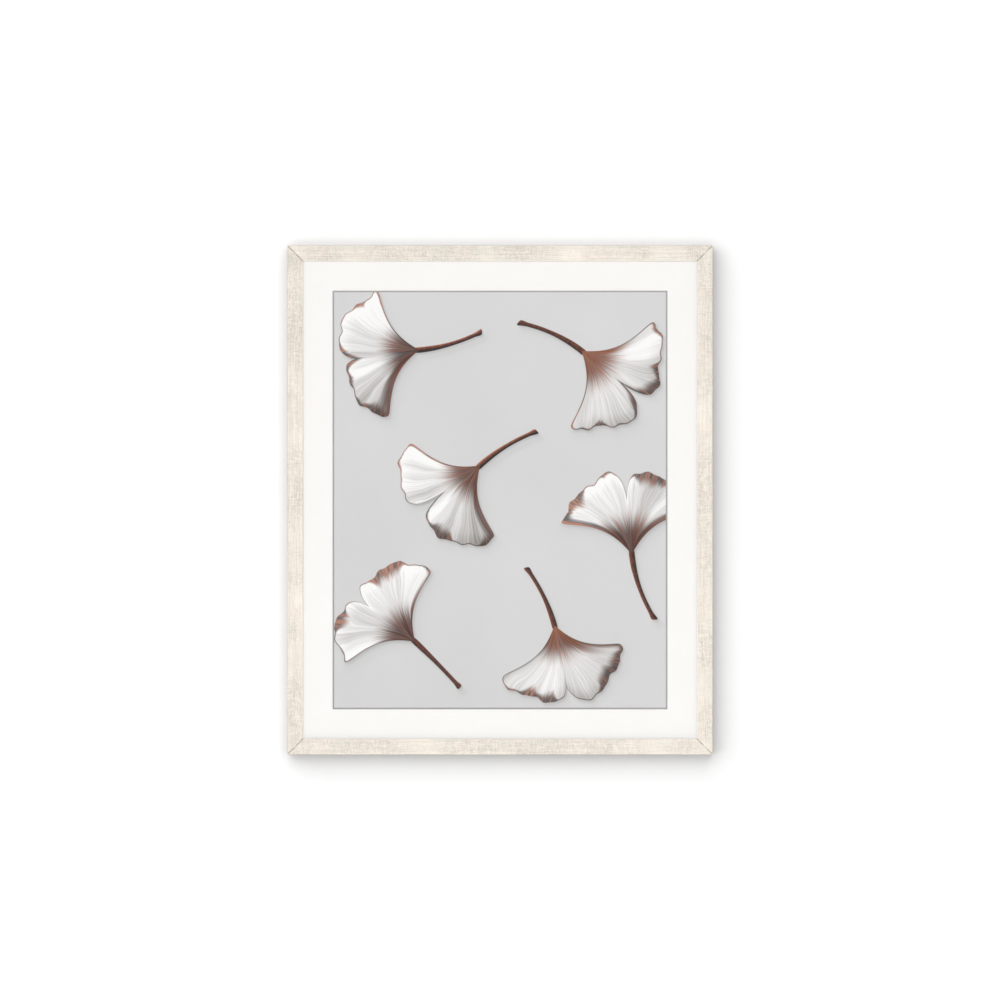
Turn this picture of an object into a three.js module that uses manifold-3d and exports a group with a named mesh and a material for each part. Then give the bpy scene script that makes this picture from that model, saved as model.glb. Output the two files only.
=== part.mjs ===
// A framed art print that hangs on a wall: four mitred rails, picture glass, a window mat, the print,
// its mount board and a backing board, held in by bendable steel points, with a sawtooth hanger and
// two wall bumpers behind. Millimetres, +Z up, seen from the front along +Y, +X to the viewer's right.
// The origin is the top of the hanger's middle notch, where the wall nail carries the picture.
import * as THREE from "three";
import { mergeVertices } from "three/addons/utils/BufferGeometryUtils.js";
import Module from "manifold-3d";

const wasm = await Module();
wasm.setup();

// ---------- driving dimensions ----------
const WINDOW_WIDTH = 406.4; // the mat's window: a 16 x 20 inch picture
const WINDOW_HEIGHT = 508;
const MAT_MARGIN = 35.8; // mat that shows between window and rail
const RAIL_FACE = 18.7; // rail width seen from the front
const RAIL_DEPTH = 22; // front to back
const LIP_DEPTH = 4.5; // wood in front of the rabbet
const RABBET = 6.2; // how far the lip covers what lies in the rabbet
const OUTER_ROUND = 0.8; // rounding of the rail's outer front edge
const SIGHT_ROUND = 0.5; // rounding of the rail's inner front edge
const ROUND_STEPS = 4; // flats along a rounding
const MITRE_GAP = 0.3; // hairline between two rails

const FIT_GAP = 0.3; // round a piece let into the wood
const CUT_OVERRUN = 1; // how far a cutting shape stands out of what it cuts
const LAYER_GAP = 0.1; // between two boards of the stack
const EDGE_GAP = 1.2; // between a board's edge and the rabbet's wall
const GLASS_THICKNESS = 2;
const MAT_THICKNESS = 2;
const PRINT_THICKNESS = 0.3;
const PRINT_MARGIN = 12.7; // print that the mat covers on each side
const MOUNT_THICKNESS = 5;
const BACKING_THICKNESS = 3;

const V_NAIL_THICKNESS = 0.7;
const V_NAIL_HEIGHT = 8;
const V_NAILS = [ // in from the outer corner, and the length of each leg
  { inset: 3.2, leg: 5 },
  { inset: 7, leg: 4.4 },
];

const POINT_THICKNESS = 0.7;
const POINT_WIDTH = 6.5;
const POINT_BITE = 9; // driven into the wood
const POINT_REACH = 14; // lying over the backing board
const POINTS_ACROSS = [-185, -65, 65, 185]; // along the top and bottom rails
const POINTS_UPRIGHT = [-225, -80, 80, 225]; // along the side rails

const HANGER_LENGTH = 46;
const HANGER_HEIGHT = 8.6;
const HANGER_THICKNESS = 0.9;
const HANGER_TOP_INSET = 2; // from the frame's top edge
const HANGER_EAR = 9; // flat end that lies on the wood
const HANGER_RISE = 1.6; // room for the nail's head behind the teeth
const HANGER_BEND = 2; // length of each slope between ear and bridge
const TOOTH_PITCH = 2.4;
const TOOTH_DEPTH = 1.7;
const TOOTH_COUNT = 9; // odd, so that one notch is in the middle
const NOTCH_ROOT = 0.2; // flat width at the top of a notch
const TOOTH_TIP = 0.3; // flat width at the tip of a tooth
const HANGER_NAIL_AT = 18.4; // from the middle to each nail
const NAIL_SHANK_RADIUS = 0.7;
const NAIL_HEAD_RADIUS = 1.8;
const NAIL_HEAD_HEIGHT = 0.8;
const NAIL_LENGTH = 12;
const NAIL_DOME = [[0.9, 0.6], [0.5, 1]]; // [share of the head's radius, share of its height]
const NAIL_SIDES = 16;

const BUMPER_RADIUS = 5;
const BUMPER_FLAT_RADIUS = 3;
const BUMPER_HEIGHT = 3;
const BUMPER_SKIRT = 1; // upright part of its side, below the rounded shoulder
const BUMPER_FROM_CORNER = 28;
const BUMPER_SIDES = 24;

// ---------- worked out ----------
const SIGHT_WIDTH = WINDOW_WIDTH + 2 * MAT_MARGIN;
const SIGHT_HEIGHT = WINDOW_HEIGHT + 2 * MAT_MARGIN;
const OUTER_WIDTH = SIGHT_WIDTH + 2 * RAIL_FACE;
const OUTER_HEIGHT = SIGHT_HEIGHT + 2 * RAIL_FACE;
const BACK_LAND = RAIL_FACE - RABBET; // flat wood beside the rabbet, seen from behind
const BOARD_WIDTH = SIGHT_WIDTH + 2 * (RABBET - EDGE_GAP);
const BOARD_HEIGHT = SIGHT_HEIGHT + 2 * (RABBET - EDGE_GAP);
// The rails' back face is the plane y = 0 while the picture is put together.
const RABBET_FLOOR = LIP_DEPTH - RAIL_DEPTH;
const NOTCH_INSET = HANGER_TOP_INSET + HANGER_HEIGHT - TOOTH_DEPTH;
const NOTCH = new THREE.Vector3(0, HANGER_RISE + HANGER_THICKNESS / 2, OUTER_HEIGHT / 2 - NOTCH_INSET);

// ---------- finishes ----------
const finish = (color, roughness, metalness = 0) =>
  new THREE.MeshStandardMaterial({ color, roughness, metalness });
const LEAFED_WOOD = finish(0xeee5da, 0.5);
const PICTURE_GLASS = new THREE.MeshStandardMaterial({
  color: 0xf4f8f7,
  roughness: 0.02,
  metalness: 0,
  transparent: true,
  opacity: 0.1,
});
const MAT_CARD = finish(0xfaf9f5, 0.9);
const ART_PAPER = finish(0xd8d7d8, 0.7);
const FOAM_CARD = finish(0xf2f1ec, 0.8);
const HARDBOARD = finish(0x8a6446, 0.75);
const SPRING_STEEL = finish(0x8d9093, 0.35, 1);
const PLATED_STEEL = finish(0xc9b48a, 0.3, 1);
const CLEAR_RUBBER = finish(0xd9d8d2, 0.45);

// ---------- closed solids, joined and cut ----------

/** A geometry as a solid that can be cut or joined. */
function solidFrom(geometry) {
  const bare = geometry.index ? geometry.toNonIndexed() : geometry.clone();
  bare.deleteAttribute("normal");
  bare.deleteAttribute("uv");
  const merged = mergeVertices(bare, 1e-4);
  return new wasm.Manifold(
    new wasm.Mesh({
      numProp: 3,
      vertProperties: new Float32Array(merged.attributes.position.array),
      triVerts: new Uint32Array(merged.index.array),
    }),
  );
}

/** The solid's surface as a flat-shaded geometry. */
function geometryFrom(solid) {
  const { numProp, vertProperties, triVerts, numVert } = solid.getMesh();
  const positions = new Float32Array(numVert * 3);
  for (let i = 0; i < numVert; i++) {
    positions.set(vertProperties.subarray(i * numProp, i * numProp + 3), i * 3);
  }
  const indexed = new THREE.BufferGeometry()
    .setAttribute("position", new THREE.BufferAttribute(positions, 3))
    .setIndex(new THREE.BufferAttribute(new Uint32Array(triVerts), 1));
  const faceted = indexed.toNonIndexed();
  faceted.computeVertexNormals();
  return faceted;
}

/** The geometry with every tool's volume taken away. */
function carve(geometry, tools) {
  const cut = tools.reduce((solid, tool) => solid.subtract(solidFrom(tool)), solidFrom(geometry));
  return geometryFrom(cut);
}

/** A box between two corners. */
function boxBetween([x0, y0, z0], [x1, y1, z1]) {
  return new THREE.BoxGeometry(x1 - x0, y1 - y0, z1 - z0)
    .translate((x0 + x1) / 2, (y0 + y1) / 2, (z0 + z1) / 2);
}

/** A flat outline in X and Z, given as [x, z] points, made solid from yFront back to yBack. */
function plateBetween(outline, yFront, yBack) {
  const shape = outline instanceof THREE.Shape
    ? outline
    : new THREE.Shape(outline.map(([x, z]) => new THREE.Vector2(x, z)));
  return new THREE.ExtrudeGeometry(shape, { depth: yBack - yFront, bevelEnabled: false })
    .rotateX(Math.PI / 2)
    .translate(0, yBack, 0);
}

/** A round bar along Y from yFront to yBack. */
function barAlongY(radius, yFront, yBack) {
  return new THREE.CylinderGeometry(radius, radius, yBack - yFront, NAIL_SIDES)
    .translate(0, (yFront + yBack) / 2, 0);
}

/** A named mesh. */
function piece(name, geometry, material) {
  const mesh = new THREE.Mesh(geometry, material);
  mesh.name = name;
  return mesh;
}

// ---------- rails ----------
// A rail lies along X in its own frame: Z is the distance in from the frame's outer edge, and its back
// face is y = 0. Its group turns and moves it, and what is fixed to it, to its side of the picture.

/** The rail's section as [distance in from the outer edge, y] points, round its front corners. */
function railSection() {
  const front = -RAIL_DEPTH;
  const arc = (centreIn, centreY, radius, from, to) =>
    Array.from({ length: ROUND_STEPS + 1 }, (_, i) => {
      const angle = from + ((to - from) * i) / ROUND_STEPS;
      return [centreIn + radius * Math.cos(angle), centreY + radius * Math.sin(angle)];
    });
  return [
    [0, 0],
    ...arc(OUTER_ROUND, front + OUTER_ROUND, OUTER_ROUND, Math.PI, 1.5 * Math.PI),
    ...arc(RAIL_FACE - SIGHT_ROUND, front + SIGHT_ROUND, SIGHT_ROUND, 1.5 * Math.PI, 2 * Math.PI),
    [RAIL_FACE, RABBET_FLOOR],
    [BACK_LAND, RABBET_FLOOR],
    [BACK_LAND, 0],
  ];
}

/** A rail of the given outer length. Each end slides along by its distance in, which cuts the mitre. */
function mitredBar(length) {
  const section = new THREE.Shape(railSection().map(([inward, y]) => new THREE.Vector2(inward, y)));
  const bar = new THREE.ExtrudeGeometry(section, { depth: length, bevelEnabled: false });
  const position = bar.attributes.position;
  const endCut = MITRE_GAP / Math.SQRT2;
  for (let i = 0; i < position.count; i++) {
    const inward = position.getX(i);
    const atStart = position.getZ(i) < length / 2;
    const along = atStart ? length / 2 - inward - endCut : inward + endCut - length / 2;
    position.setXYZ(i, along, position.getY(i), inward);
  }
  return bar;
}

/** A V-nail's outline as an angle with legs along +X and +Z, grown by a clearance. */
function vNailOutline({ inset, leg }, grow = 0) {
  const near = inset - grow;
  const inner = inset + V_NAIL_THICKNESS + grow;
  const far = inset + leg + grow;
  return [[near, near], [far, near], [far, inner], [inner, inner], [inner, far], [near, far]];
}

/** The pockets for both ends' V-nails. */
function vNailPockets(length) {
  return V_NAILS.flatMap((nail) => {
    const outline = vNailOutline(nail, FIT_GAP);
    const left = outline.map(([x, z]) => [x - length / 2, z]);
    const right = outline.map(([x, z]) => [length / 2 - x, z]).reverse();
    return [left, right].map((side) => plateBetween(side, -V_NAIL_HEIGHT - 2 * FIT_GAP, CUT_OVERRUN));
  });
}

// Where the points lie: just behind the backing board.
const BACKING_BACK = RABBET_FLOOR + GLASS_THICKNESS + MAT_THICKNESS + PRINT_THICKNESS
  + MOUNT_THICKNESS + BACKING_THICKNESS + 5 * LAYER_GAP;
const POINT_FRONT = BACKING_BACK + FIT_GAP;
const POINT_BACK = POINT_FRONT + POINT_THICKNESS;

/** The slots that the points are driven into. */
function pointSlots(places) {
  const half = POINT_WIDTH / 2 + FIT_GAP;
  const deep = BACK_LAND - POINT_BITE - FIT_GAP;
  return places.map((x) => boxBetween(
    [x - half, POINT_FRONT - FIT_GAP, deep],
    [x + half, POINT_BACK + FIT_GAP, BACK_LAND + CUT_OVERRUN],
  ));
}

/** A retaining point: a flat steel tab, its square end in the wood and its round end over the board. */
function pointGeometry() {
  const half = POINT_WIDTH / 2;
  const shape = new THREE.Shape()
    .moveTo(-half, BACK_LAND - POINT_BITE)
    .lineTo(half, BACK_LAND - POINT_BITE)
    .lineTo(half, BACK_LAND + POINT_REACH - half);
  shape.absarc(0, BACK_LAND + POINT_REACH - half, half, 0, Math.PI, false);
  shape.closePath();
  return plateBetween(shape, POINT_FRONT, POINT_BACK);
}

/** Holes for the hanger's two nails. */
function nailHoles() {
  return [-1, 1].map((side) =>
    barAlongY(NAIL_SHANK_RADIUS + FIT_GAP, HANGER_THICKNESS - NAIL_LENGTH - FIT_GAP, CUT_OVERRUN)
      .translate(side * HANGER_NAIL_AT, 0, HANGER_TOP_INSET + HANGER_HEIGHT / 2));
}

/** A rail with its pockets, slots and holes, and its retaining points, in a group of their own frame. */
function railGroup(name, length, pointPlaces, extraCuts = []) {
  const group = new THREE.Group();
  const cuts = [...vNailPockets(length), ...pointSlots(pointPlaces), ...extraCuts];
  group.add(piece(`rail_${name}`, carve(mitredBar(length), cuts), LEAFED_WOOD));
  pointPlaces.forEach((x, i) => {
    const point = piece(`point_${name}_${i + 1}`, pointGeometry(), SPRING_STEEL);
    point.position.x = x;
    group.add(point);
  });
  return group;
}

// ---------- what is fixed behind the rails ----------

/** The sawtooth hanger: two flat ears, a raised bridge and a row of notches in its lower edge. */
function hangerGeometry() {
  const half = HANGER_LENGTH / 2;
  const earEnd = half - HANGER_EAR;
  const bridgeEnd = earEnd - HANGER_BEND;
  const front = [[-half, 0], [-earEnd, 0], [-bridgeEnd, HANGER_RISE],
    [bridgeEnd, HANGER_RISE], [earEnd, 0], [half, 0]];
  const back = front.map(([x, y]) => [x, y + HANGER_THICKNESS]).reverse();
  const strip = new THREE.Shape([...front, ...back].map(([x, y]) => new THREE.Vector2(x, y)));
  const blank = new THREE.ExtrudeGeometry(strip, { depth: HANGER_HEIGHT, bevelEnabled: false })
    .translate(0, 0, HANGER_TOP_INSET);
  const notchTop = HANGER_TOP_INSET + HANGER_HEIGHT - TOOTH_DEPTH;
  const root = NOTCH_ROOT / 2;
  const cutDepth = TOOTH_DEPTH * 1.2; // a fifth past the lower edge, to cut it clean
  const mouth = root + ((TOOTH_PITCH - TOOTH_TIP) / 2 - root) * (cutDepth / TOOTH_DEPTH);
  const notches = Array.from({ length: TOOTH_COUNT }, (_, i) => {
    const x = (i - (TOOTH_COUNT - 1) / 2) * TOOTH_PITCH;
    return plateBetween(
      [[x - root, notchTop], [x + root, notchTop],
        [x + mouth, notchTop + cutDepth], [x - mouth, notchTop + cutDepth]],
      HANGER_RISE - CUT_OVERRUN,
      HANGER_RISE + HANGER_THICKNESS + CUT_OVERRUN,
    );
  });
  const eyes = [-1, 1].map((side) =>
    barAlongY(NAIL_SHANK_RADIUS + FIT_GAP, -CUT_OVERRUN, HANGER_THICKNESS + CUT_OVERRUN)
      .translate(side * HANGER_NAIL_AT, 0, HANGER_TOP_INSET + HANGER_HEIGHT / 2));
  return carve(blank, [...notches, ...eyes]);
}

/** A hanger nail: a turned profile from its tip, inside the wood, to its domed head. */
function nailGeometry() {
  const headFront = HANGER_THICKNESS + LAYER_GAP;
  const tip = HANGER_THICKNESS - NAIL_LENGTH;
  const profile = [
    [0, tip],
    [NAIL_SHANK_RADIUS, tip + 2 * NAIL_SHANK_RADIUS],
    [NAIL_SHANK_RADIUS, headFront],
    [NAIL_HEAD_RADIUS, headFront],
    ...NAIL_DOME.map(([r, y]) => [NAIL_HEAD_RADIUS * r, headFront + NAIL_HEAD_HEIGHT * y]),
    [0, headFront + NAIL_HEAD_HEIGHT],
  ];
  return new THREE.LatheGeometry(profile.map(([r, y]) => new THREE.Vector2(r, y)), NAIL_SIDES);
}

/** A wall bumper: a low round pad with a flat top. */
function bumperGeometry() {
  const shoulder = Array.from({ length: ROUND_STEPS + 1 }, (_, i) => {
    const angle = (Math.PI / 2) * (i / ROUND_STEPS);
    const r = BUMPER_FLAT_RADIUS + (BUMPER_RADIUS - BUMPER_FLAT_RADIUS) * Math.cos(angle);
    return [r, BUMPER_SKIRT + (BUMPER_HEIGHT - BUMPER_SKIRT) * Math.sin(angle)];
  });
  const profile = [[0, 0], [BUMPER_RADIUS, 0], ...shoulder, [0, BUMPER_HEIGHT]];
  return new THREE.LatheGeometry(profile.map(([r, y]) => new THREE.Vector2(r, y)), BUMPER_SIDES);
}

// ---------- the stack inside the rabbet ----------

/** A rectangle about the picture's centre. */
function rectangle(width, height) {
  const [x, z] = [width / 2, height / 2];
  return [[-x, -z], [x, -z], [x, z], [-x, z]];
}

/** The window mat: its cut slopes inwards from front to back at 45 degrees, so the card's core shows. */
function matGeometry(yFront, yBack) {
  const board = plateBetween(rectangle(BOARD_WIDTH, BOARD_HEIGHT), yFront, yBack);
  const opening = rectangle(WINDOW_WIDTH, WINDOW_HEIGHT);
  const windowCut = plateBetween(opening, yFront - CUT_OVERRUN, yBack + CUT_OVERRUN);
  const position = windowCut.attributes.position;
  for (let i = 0; i < position.count; i++) {
    const narrowing = position.getY(i) - yFront;
    position.setX(i, position.getX(i) - Math.sign(position.getX(i)) * narrowing);
    position.setZ(i, position.getZ(i) - Math.sign(position.getZ(i)) * narrowing);
  }
  return carve(board, [windowCut]);
}

/** The glass, mat, print and two boards, laid one behind the other from the rabbet's floor. */
function stackMeshes() {
  const board = rectangle(BOARD_WIDTH, BOARD_HEIGHT);
  const sheet = rectangle(WINDOW_WIDTH + 2 * PRINT_MARGIN, WINDOW_HEIGHT + 2 * PRINT_MARGIN);
  const flat = (outline) => (yFront, yBack) => plateBetween(outline, yFront, yBack);
  const layers = [
    ["picture_glass", GLASS_THICKNESS, flat(board), PICTURE_GLASS],
    ["window_mat", MAT_THICKNESS, matGeometry, MAT_CARD],
    ["print_sheet", PRINT_THICKNESS, flat(sheet), ART_PAPER],
    ["mount_board", MOUNT_THICKNESS, flat(board), FOAM_CARD],
    ["backing_board", BACKING_THICKNESS, flat(board), HARDBOARD],
  ];
  let front = RABBET_FLOOR + LAYER_GAP;
  return layers.map(([name, thickness, shapeBetween, material]) => {
    const back = front + thickness;
    const layer = piece(name, shapeBetween(front, back), material);
    front = back + LAYER_GAP;
    return layer;
  });
}

// ---------- the whole picture ----------

const picture = new THREE.Group();

const top = railGroup("top", OUTER_WIDTH, POINTS_ACROSS, nailHoles());
top.position.z = OUTER_HEIGHT / 2;
top.rotation.y = Math.PI;
top.add(piece("sawtooth_hanger", hangerGeometry(), PLATED_STEEL));
[-1, 1].forEach((side) => {
  const nail = piece(`hanger_nail_${side < 0 ? "right" : "left"}`, nailGeometry(), PLATED_STEEL);
  nail.position.set(side * HANGER_NAIL_AT, 0, HANGER_TOP_INSET + HANGER_HEIGHT / 2);
  top.add(nail);
});

const bottom = railGroup("bottom", OUTER_WIDTH, POINTS_ACROSS);
bottom.position.z = -OUTER_HEIGHT / 2;
[-1, 1].forEach((side) => {
  const bumper = piece(`bumper_${side < 0 ? "left" : "right"}`, bumperGeometry(), CLEAR_RUBBER);
  bumper.position.set(side * (OUTER_WIDTH / 2 - BUMPER_FROM_CORNER), 0, BACK_LAND / 2);
  bottom.add(bumper);
});

const left = railGroup("left", OUTER_HEIGHT, POINTS_UPRIGHT);
left.position.x = -OUTER_WIDTH / 2;
left.rotation.y = Math.PI / 2;

const right = railGroup("right", OUTER_HEIGHT, POINTS_UPRIGHT);
right.position.x = OUTER_WIDTH / 2;
right.rotation.y = -Math.PI / 2;

picture.add(top, bottom, left, right, ...stackMeshes());

// Each corner's V-nails, turned so that their legs run along the two rails that meet there.
const CORNERS = [
  ["bottom_left", -1, -1, 0],
  ["top_left", -1, 1, Math.PI / 2],
  ["top_right", 1, 1, Math.PI],
  ["bottom_right", 1, -1, -Math.PI / 2],
];
for (const [name, sideX, sideZ, turn] of CORNERS) {
  const corner = new THREE.Group();
  corner.position.set((sideX * OUTER_WIDTH) / 2, 0, (sideZ * OUTER_HEIGHT) / 2);
  corner.rotation.y = turn;
  V_NAILS.forEach((nail, i) => {
    const geometry = plateBetween(vNailOutline(nail), -V_NAIL_HEIGHT - FIT_GAP, -FIT_GAP);
    corner.add(piece(`v_nail_${name}_${i + 1}`, geometry, SPRING_STEEL));
  });
  picture.add(corner);
}

picture.position.copy(NOTCH).negate();
const framedPrint = new THREE.Group();
framedPrint.add(picture);

export default framedPrint;
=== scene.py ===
"""Looks of a framed art print that hangs on a wall.

The picture has a pale champagne-leafed wooden frame, picture glass, an off-white window mat and a print
of white fan-shaped leaves with russet stalks on light grey. Behind, it has a hardboard back held in by
steel points, V-nailed corners, a sawtooth hanger and two soft bumpers. Metres, +Z up, +X to the right
of someone who looks at it, the wall on the +Y side; the origin is the hanger's middle notch.
"""

import logging
import math
from collections.abc import Sequence
from dataclasses import dataclass, field
from enum import Enum

import bmesh
import bpy
import numpy as np
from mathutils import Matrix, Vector


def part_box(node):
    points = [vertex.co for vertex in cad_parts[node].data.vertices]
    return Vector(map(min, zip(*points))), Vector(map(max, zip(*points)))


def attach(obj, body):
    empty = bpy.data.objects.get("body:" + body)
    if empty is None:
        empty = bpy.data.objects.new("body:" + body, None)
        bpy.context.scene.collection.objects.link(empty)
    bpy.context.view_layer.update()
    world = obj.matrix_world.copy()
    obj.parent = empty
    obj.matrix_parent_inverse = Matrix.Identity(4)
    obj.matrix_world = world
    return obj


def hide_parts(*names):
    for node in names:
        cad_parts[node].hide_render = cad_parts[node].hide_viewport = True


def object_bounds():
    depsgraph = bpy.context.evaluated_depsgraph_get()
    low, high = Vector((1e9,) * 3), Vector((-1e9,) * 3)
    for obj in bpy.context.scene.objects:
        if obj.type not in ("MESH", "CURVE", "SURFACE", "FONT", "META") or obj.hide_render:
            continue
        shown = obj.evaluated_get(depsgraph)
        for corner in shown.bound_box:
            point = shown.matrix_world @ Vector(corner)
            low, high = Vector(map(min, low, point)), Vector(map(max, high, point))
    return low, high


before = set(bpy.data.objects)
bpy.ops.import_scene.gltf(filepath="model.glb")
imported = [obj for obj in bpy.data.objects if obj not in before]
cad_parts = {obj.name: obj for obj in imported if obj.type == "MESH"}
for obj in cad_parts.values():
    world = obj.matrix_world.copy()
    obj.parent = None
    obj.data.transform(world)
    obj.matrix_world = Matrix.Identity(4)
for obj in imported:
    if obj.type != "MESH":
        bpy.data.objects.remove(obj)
CAD_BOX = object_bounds()

LOG = logging.getLogger("framed_print")
BODY = "root"
MM = 0.001
TO_MM = 1000.0
WELD = 2e-6  # metres: corners closer than this are one
FLAT = math.radians(1.0)  # faces that turn by less than this are joined
ROUNDED = math.radians(30.0)  # an edge that turns by more gets a rounding
SHARP = math.radians(35.0)  # an edge that turns by more isn't shaded smooth
QUARTER = math.pi / 2.0

RAIL_BOXES = [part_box(node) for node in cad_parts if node.startswith("rail_")]
FRAME_LOW = Vector(np.min([low for low, _ in RAIL_BOXES], axis=0))
FRAME_HIGH = Vector(np.max([high for _, high in RAIL_BOXES], axis=0))
PICTURE_MIDDLE = (FRAME_LOW + FRAME_HIGH) / 2.0

Colour = tuple[float, float, float]


# ---------- node graphs ----------


class Wire:
    """A node's output. Arithmetic with it adds Math nodes, so that a formula is written as one."""

    def __init__(self, graph: "Graph", socket: bpy.types.NodeSocket) -> None:
        """Keeps the output, and the graph that its node is in."""
        self.graph = graph
        self.socket = socket

    def __add__(self, other: "Feed") -> "Wire":
        """This plus the other."""
        return self.graph.math("ADD", self, other)

    def __sub__(self, other: "Feed") -> "Wire":
        """This minus the other."""
        return self.graph.math("SUBTRACT", self, other)

    def __rsub__(self, other: "Feed") -> "Wire":
        """The other minus this."""
        return self.graph.math("SUBTRACT", other, self)

    def __mul__(self, other: "Feed") -> "Wire":
        """This times the other."""
        return self.graph.math("MULTIPLY", self, other)

    def __truediv__(self, other: "Feed") -> "Wire":
        """This over the other."""
        return self.graph.math("DIVIDE", self, other)

    def __rtruediv__(self, other: "Feed") -> "Wire":
        """The other over this."""
        return self.graph.math("DIVIDE", other, self)

    def __neg__(self) -> "Wire":
        """This with its sign turned."""
        return self * -1.0

    def __abs__(self) -> "Wire":
        """How far this is from 0."""
        return self.graph.math("ABSOLUTE", self)

    __radd__ = __add__
    __rmul__ = __mul__


Feed = Wire | float | Sequence[float]
Wires = dict[str, Wire]
Feeds = dict[str, Feed]
Inputs = dict[str | int, Feed]


class Graph:
    """A node tree with short ways to add to it; every input takes a wire or a plain value."""

    def __init__(self, tree: bpy.types.NodeTree) -> None:
        """Keeps the tree of a material, a world or a group."""
        self.tree = tree

    def feed(self, socket: bpy.types.NodeSocket, value: Feed) -> None:
        """Links a wire to an input, or sets a plain value.

        Args:
            socket: The input.
            value: A wire, a number, or three or four numbers.
        """
        if isinstance(value, Wire):
            self.tree.links.new(value.socket, socket)
        elif isinstance(value, (int, float)):
            socket.default_value = value
        elif socket.type == "RGBA" and len(value) == 3:
            socket.default_value = (*value, 1.0)
        else:
            socket.default_value = tuple(value)

    def add(self, kind: str, inputs: Inputs | None = None, **settings: object) -> bpy.types.Node:
        """Adds a node.

        Args:
            kind: The node's type name.
            inputs: Input name or number to what feeds it.
            **settings: The node's own properties.

        Returns:
            The node.
        """
        node = self.tree.nodes.new(kind)
        for key, setting in settings.items():
            setattr(node, key, setting)
        for key, value in (inputs or {}).items():
            self.feed(node.inputs[key], value)
        return node

    def read(self, output: str | int, kind: str, inputs: Inputs | None = None, **settings: object) -> Wire:
        """Adds a node, as add does, and gives one of its outputs, by name or number."""
        return Wire(self, self.add(kind, inputs, **settings).outputs[output])

    def math(self, operation: str, *values: Feed) -> Wire:
        """One step of arithmetic: a Math node's operation on its inputs, in order."""
        return self.read(0, "ShaderNodeMath", dict(enumerate(values)), operation=operation)

    def sine(self, angle: Feed) -> Wire:
        """The sine of an angle in radians."""
        return self.math("SINE", angle)

    def cosine(self, angle: Feed) -> Wire:
        """The cosine of an angle in radians."""
        return self.math("COSINE", angle)

    def vector(self, operation: str, *values: Feed) -> Wire:
        """One step of vector arithmetic that gives a vector; a Vector Math node's inputs, in order."""
        return self.read("Vector", "ShaderNodeVectorMath", dict(enumerate(values)), operation=operation)

    def scale(self, vector: Feed, factor: Feed) -> Wire:
        """A vector or colour times a number."""
        return self.read("Vector", "ShaderNodeVectorMath", {0: vector, 3: factor}, operation="SCALE")

    def length(self, vector: Feed) -> Wire:
        """How long a vector is."""
        return self.read("Value", "ShaderNodeVectorMath", {0: vector}, operation="LENGTH")

    def split(self, vector: Feed) -> list[Wire]:
        """A vector's x, y and z."""
        return [Wire(self, part) for part in self.add("ShaderNodeSeparateXYZ", {0: vector}).outputs]

    def join(self, x: Feed, y: Feed, z: Feed = 0.0) -> Wire:
        """The vector of x, y and z."""
        return self.read(0, "ShaderNodeCombineXYZ", {0: x, 1: y, 2: z})

    def turn(self, vector: Feed, angle: Feed) -> Wire:
        """A vector turned about Z, counter-clockwise, by an angle in radians."""
        feeds = {"Vector": vector, "Angle": angle}
        return self.read(0, "ShaderNodeVectorRotate", feeds, rotation_type="Z_AXIS")

    def mix(self, share: Feed, low: Feed, high: Feed, blend: str = "MIX") -> Wire:
        """A colour between low, where the share is 0, and high, where it is 1."""
        feeds = {0: share, 6: low, 7: high}
        return self.read(2, "ShaderNodeMix", feeds, data_type="RGBA", blend_type=blend)

    def between(self, share: Feed, low: Feed, high: Feed) -> Wire:
        """A number between low, where the share is 0, and high, where it is 1."""
        return self.read(0, "ShaderNodeMix", {0: share, 2: low, 3: high}, data_type="FLOAT")

    def choose(self, pick: Feed, first: Feed, second: Feed) -> Wire:
        """A vector: the second where pick is 1, otherwise the first."""
        return self.read(1, "ShaderNodeMix", {0: pick, 4: first, 5: second}, data_type="VECTOR")

    def ramp(self, value: Feed, start: float, end: float, low: float = 0.0, high: float = 1.0) -> Wire:
        """A smooth step: low up to the start and high past the end, which may lie below the start."""
        feeds = {"Value": value, "From Min": start, "From Max": end, "To Min": low, "To Max": high}
        return self.read(0, "ShaderNodeMapRange", feeds, interpolation_type="SMOOTHSTEP")

    def noise(self, place: Feed, scale: float = 1.0, detail: float = 2.0, roughness: float = 0.5) -> Wire:
        """Soft random values about 0.5: scale bumps to a unit, and detail finer layers of a strength."""
        feeds = {"Vector": place, "Scale": scale, "Detail": detail, "Roughness": roughness}
        return self.read("Fac", "ShaderNodeTexNoise", feeds)

    def bump(self, height: Feed, depth: float, strength: float = 1.0) -> Wire:
        """The normal of a surface whose height of 1 stands for a depth in metres."""
        return self.read(0, "ShaderNodeBump", {"Height": height, "Distance": depth, "Strength": strength})

    def place(self, effect: "Effect", **values: Feed) -> Wires:
        """Adds a shared effect, fed by the names of its inputs, and gives its outputs by name."""
        node = self.add("ShaderNodeGroup", values, node_tree=effect.tree())
        return {name: Wire(self, node.outputs[name]) for name, _ in effect.outputs}

    def streaks(self, place: Feed, length: Feed, width: Feed, seed: Feed) -> Wire:
        """The random marks that Streaks draws, of a length and width in the place's own units."""
        return self.place(Streaks(), Place=place, Length=length, Width=width, Seed=seed)["Value"]

    def vary(self, seed: Wire, phase: float) -> Wire:
        """A number from -1 to 1 that a seed settles: the sine of the seed times a phase."""
        return self.sine(seed * phase)

    def uneven(self, *layers: tuple[Wire, float]) -> Wire:
        """What random layers add up to: how far each is above 0.5, times its strength."""
        return sum((layer - 0.5) * strength for layer, strength in layers)


# ---------- shared effects, each a node group ----------


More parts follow.
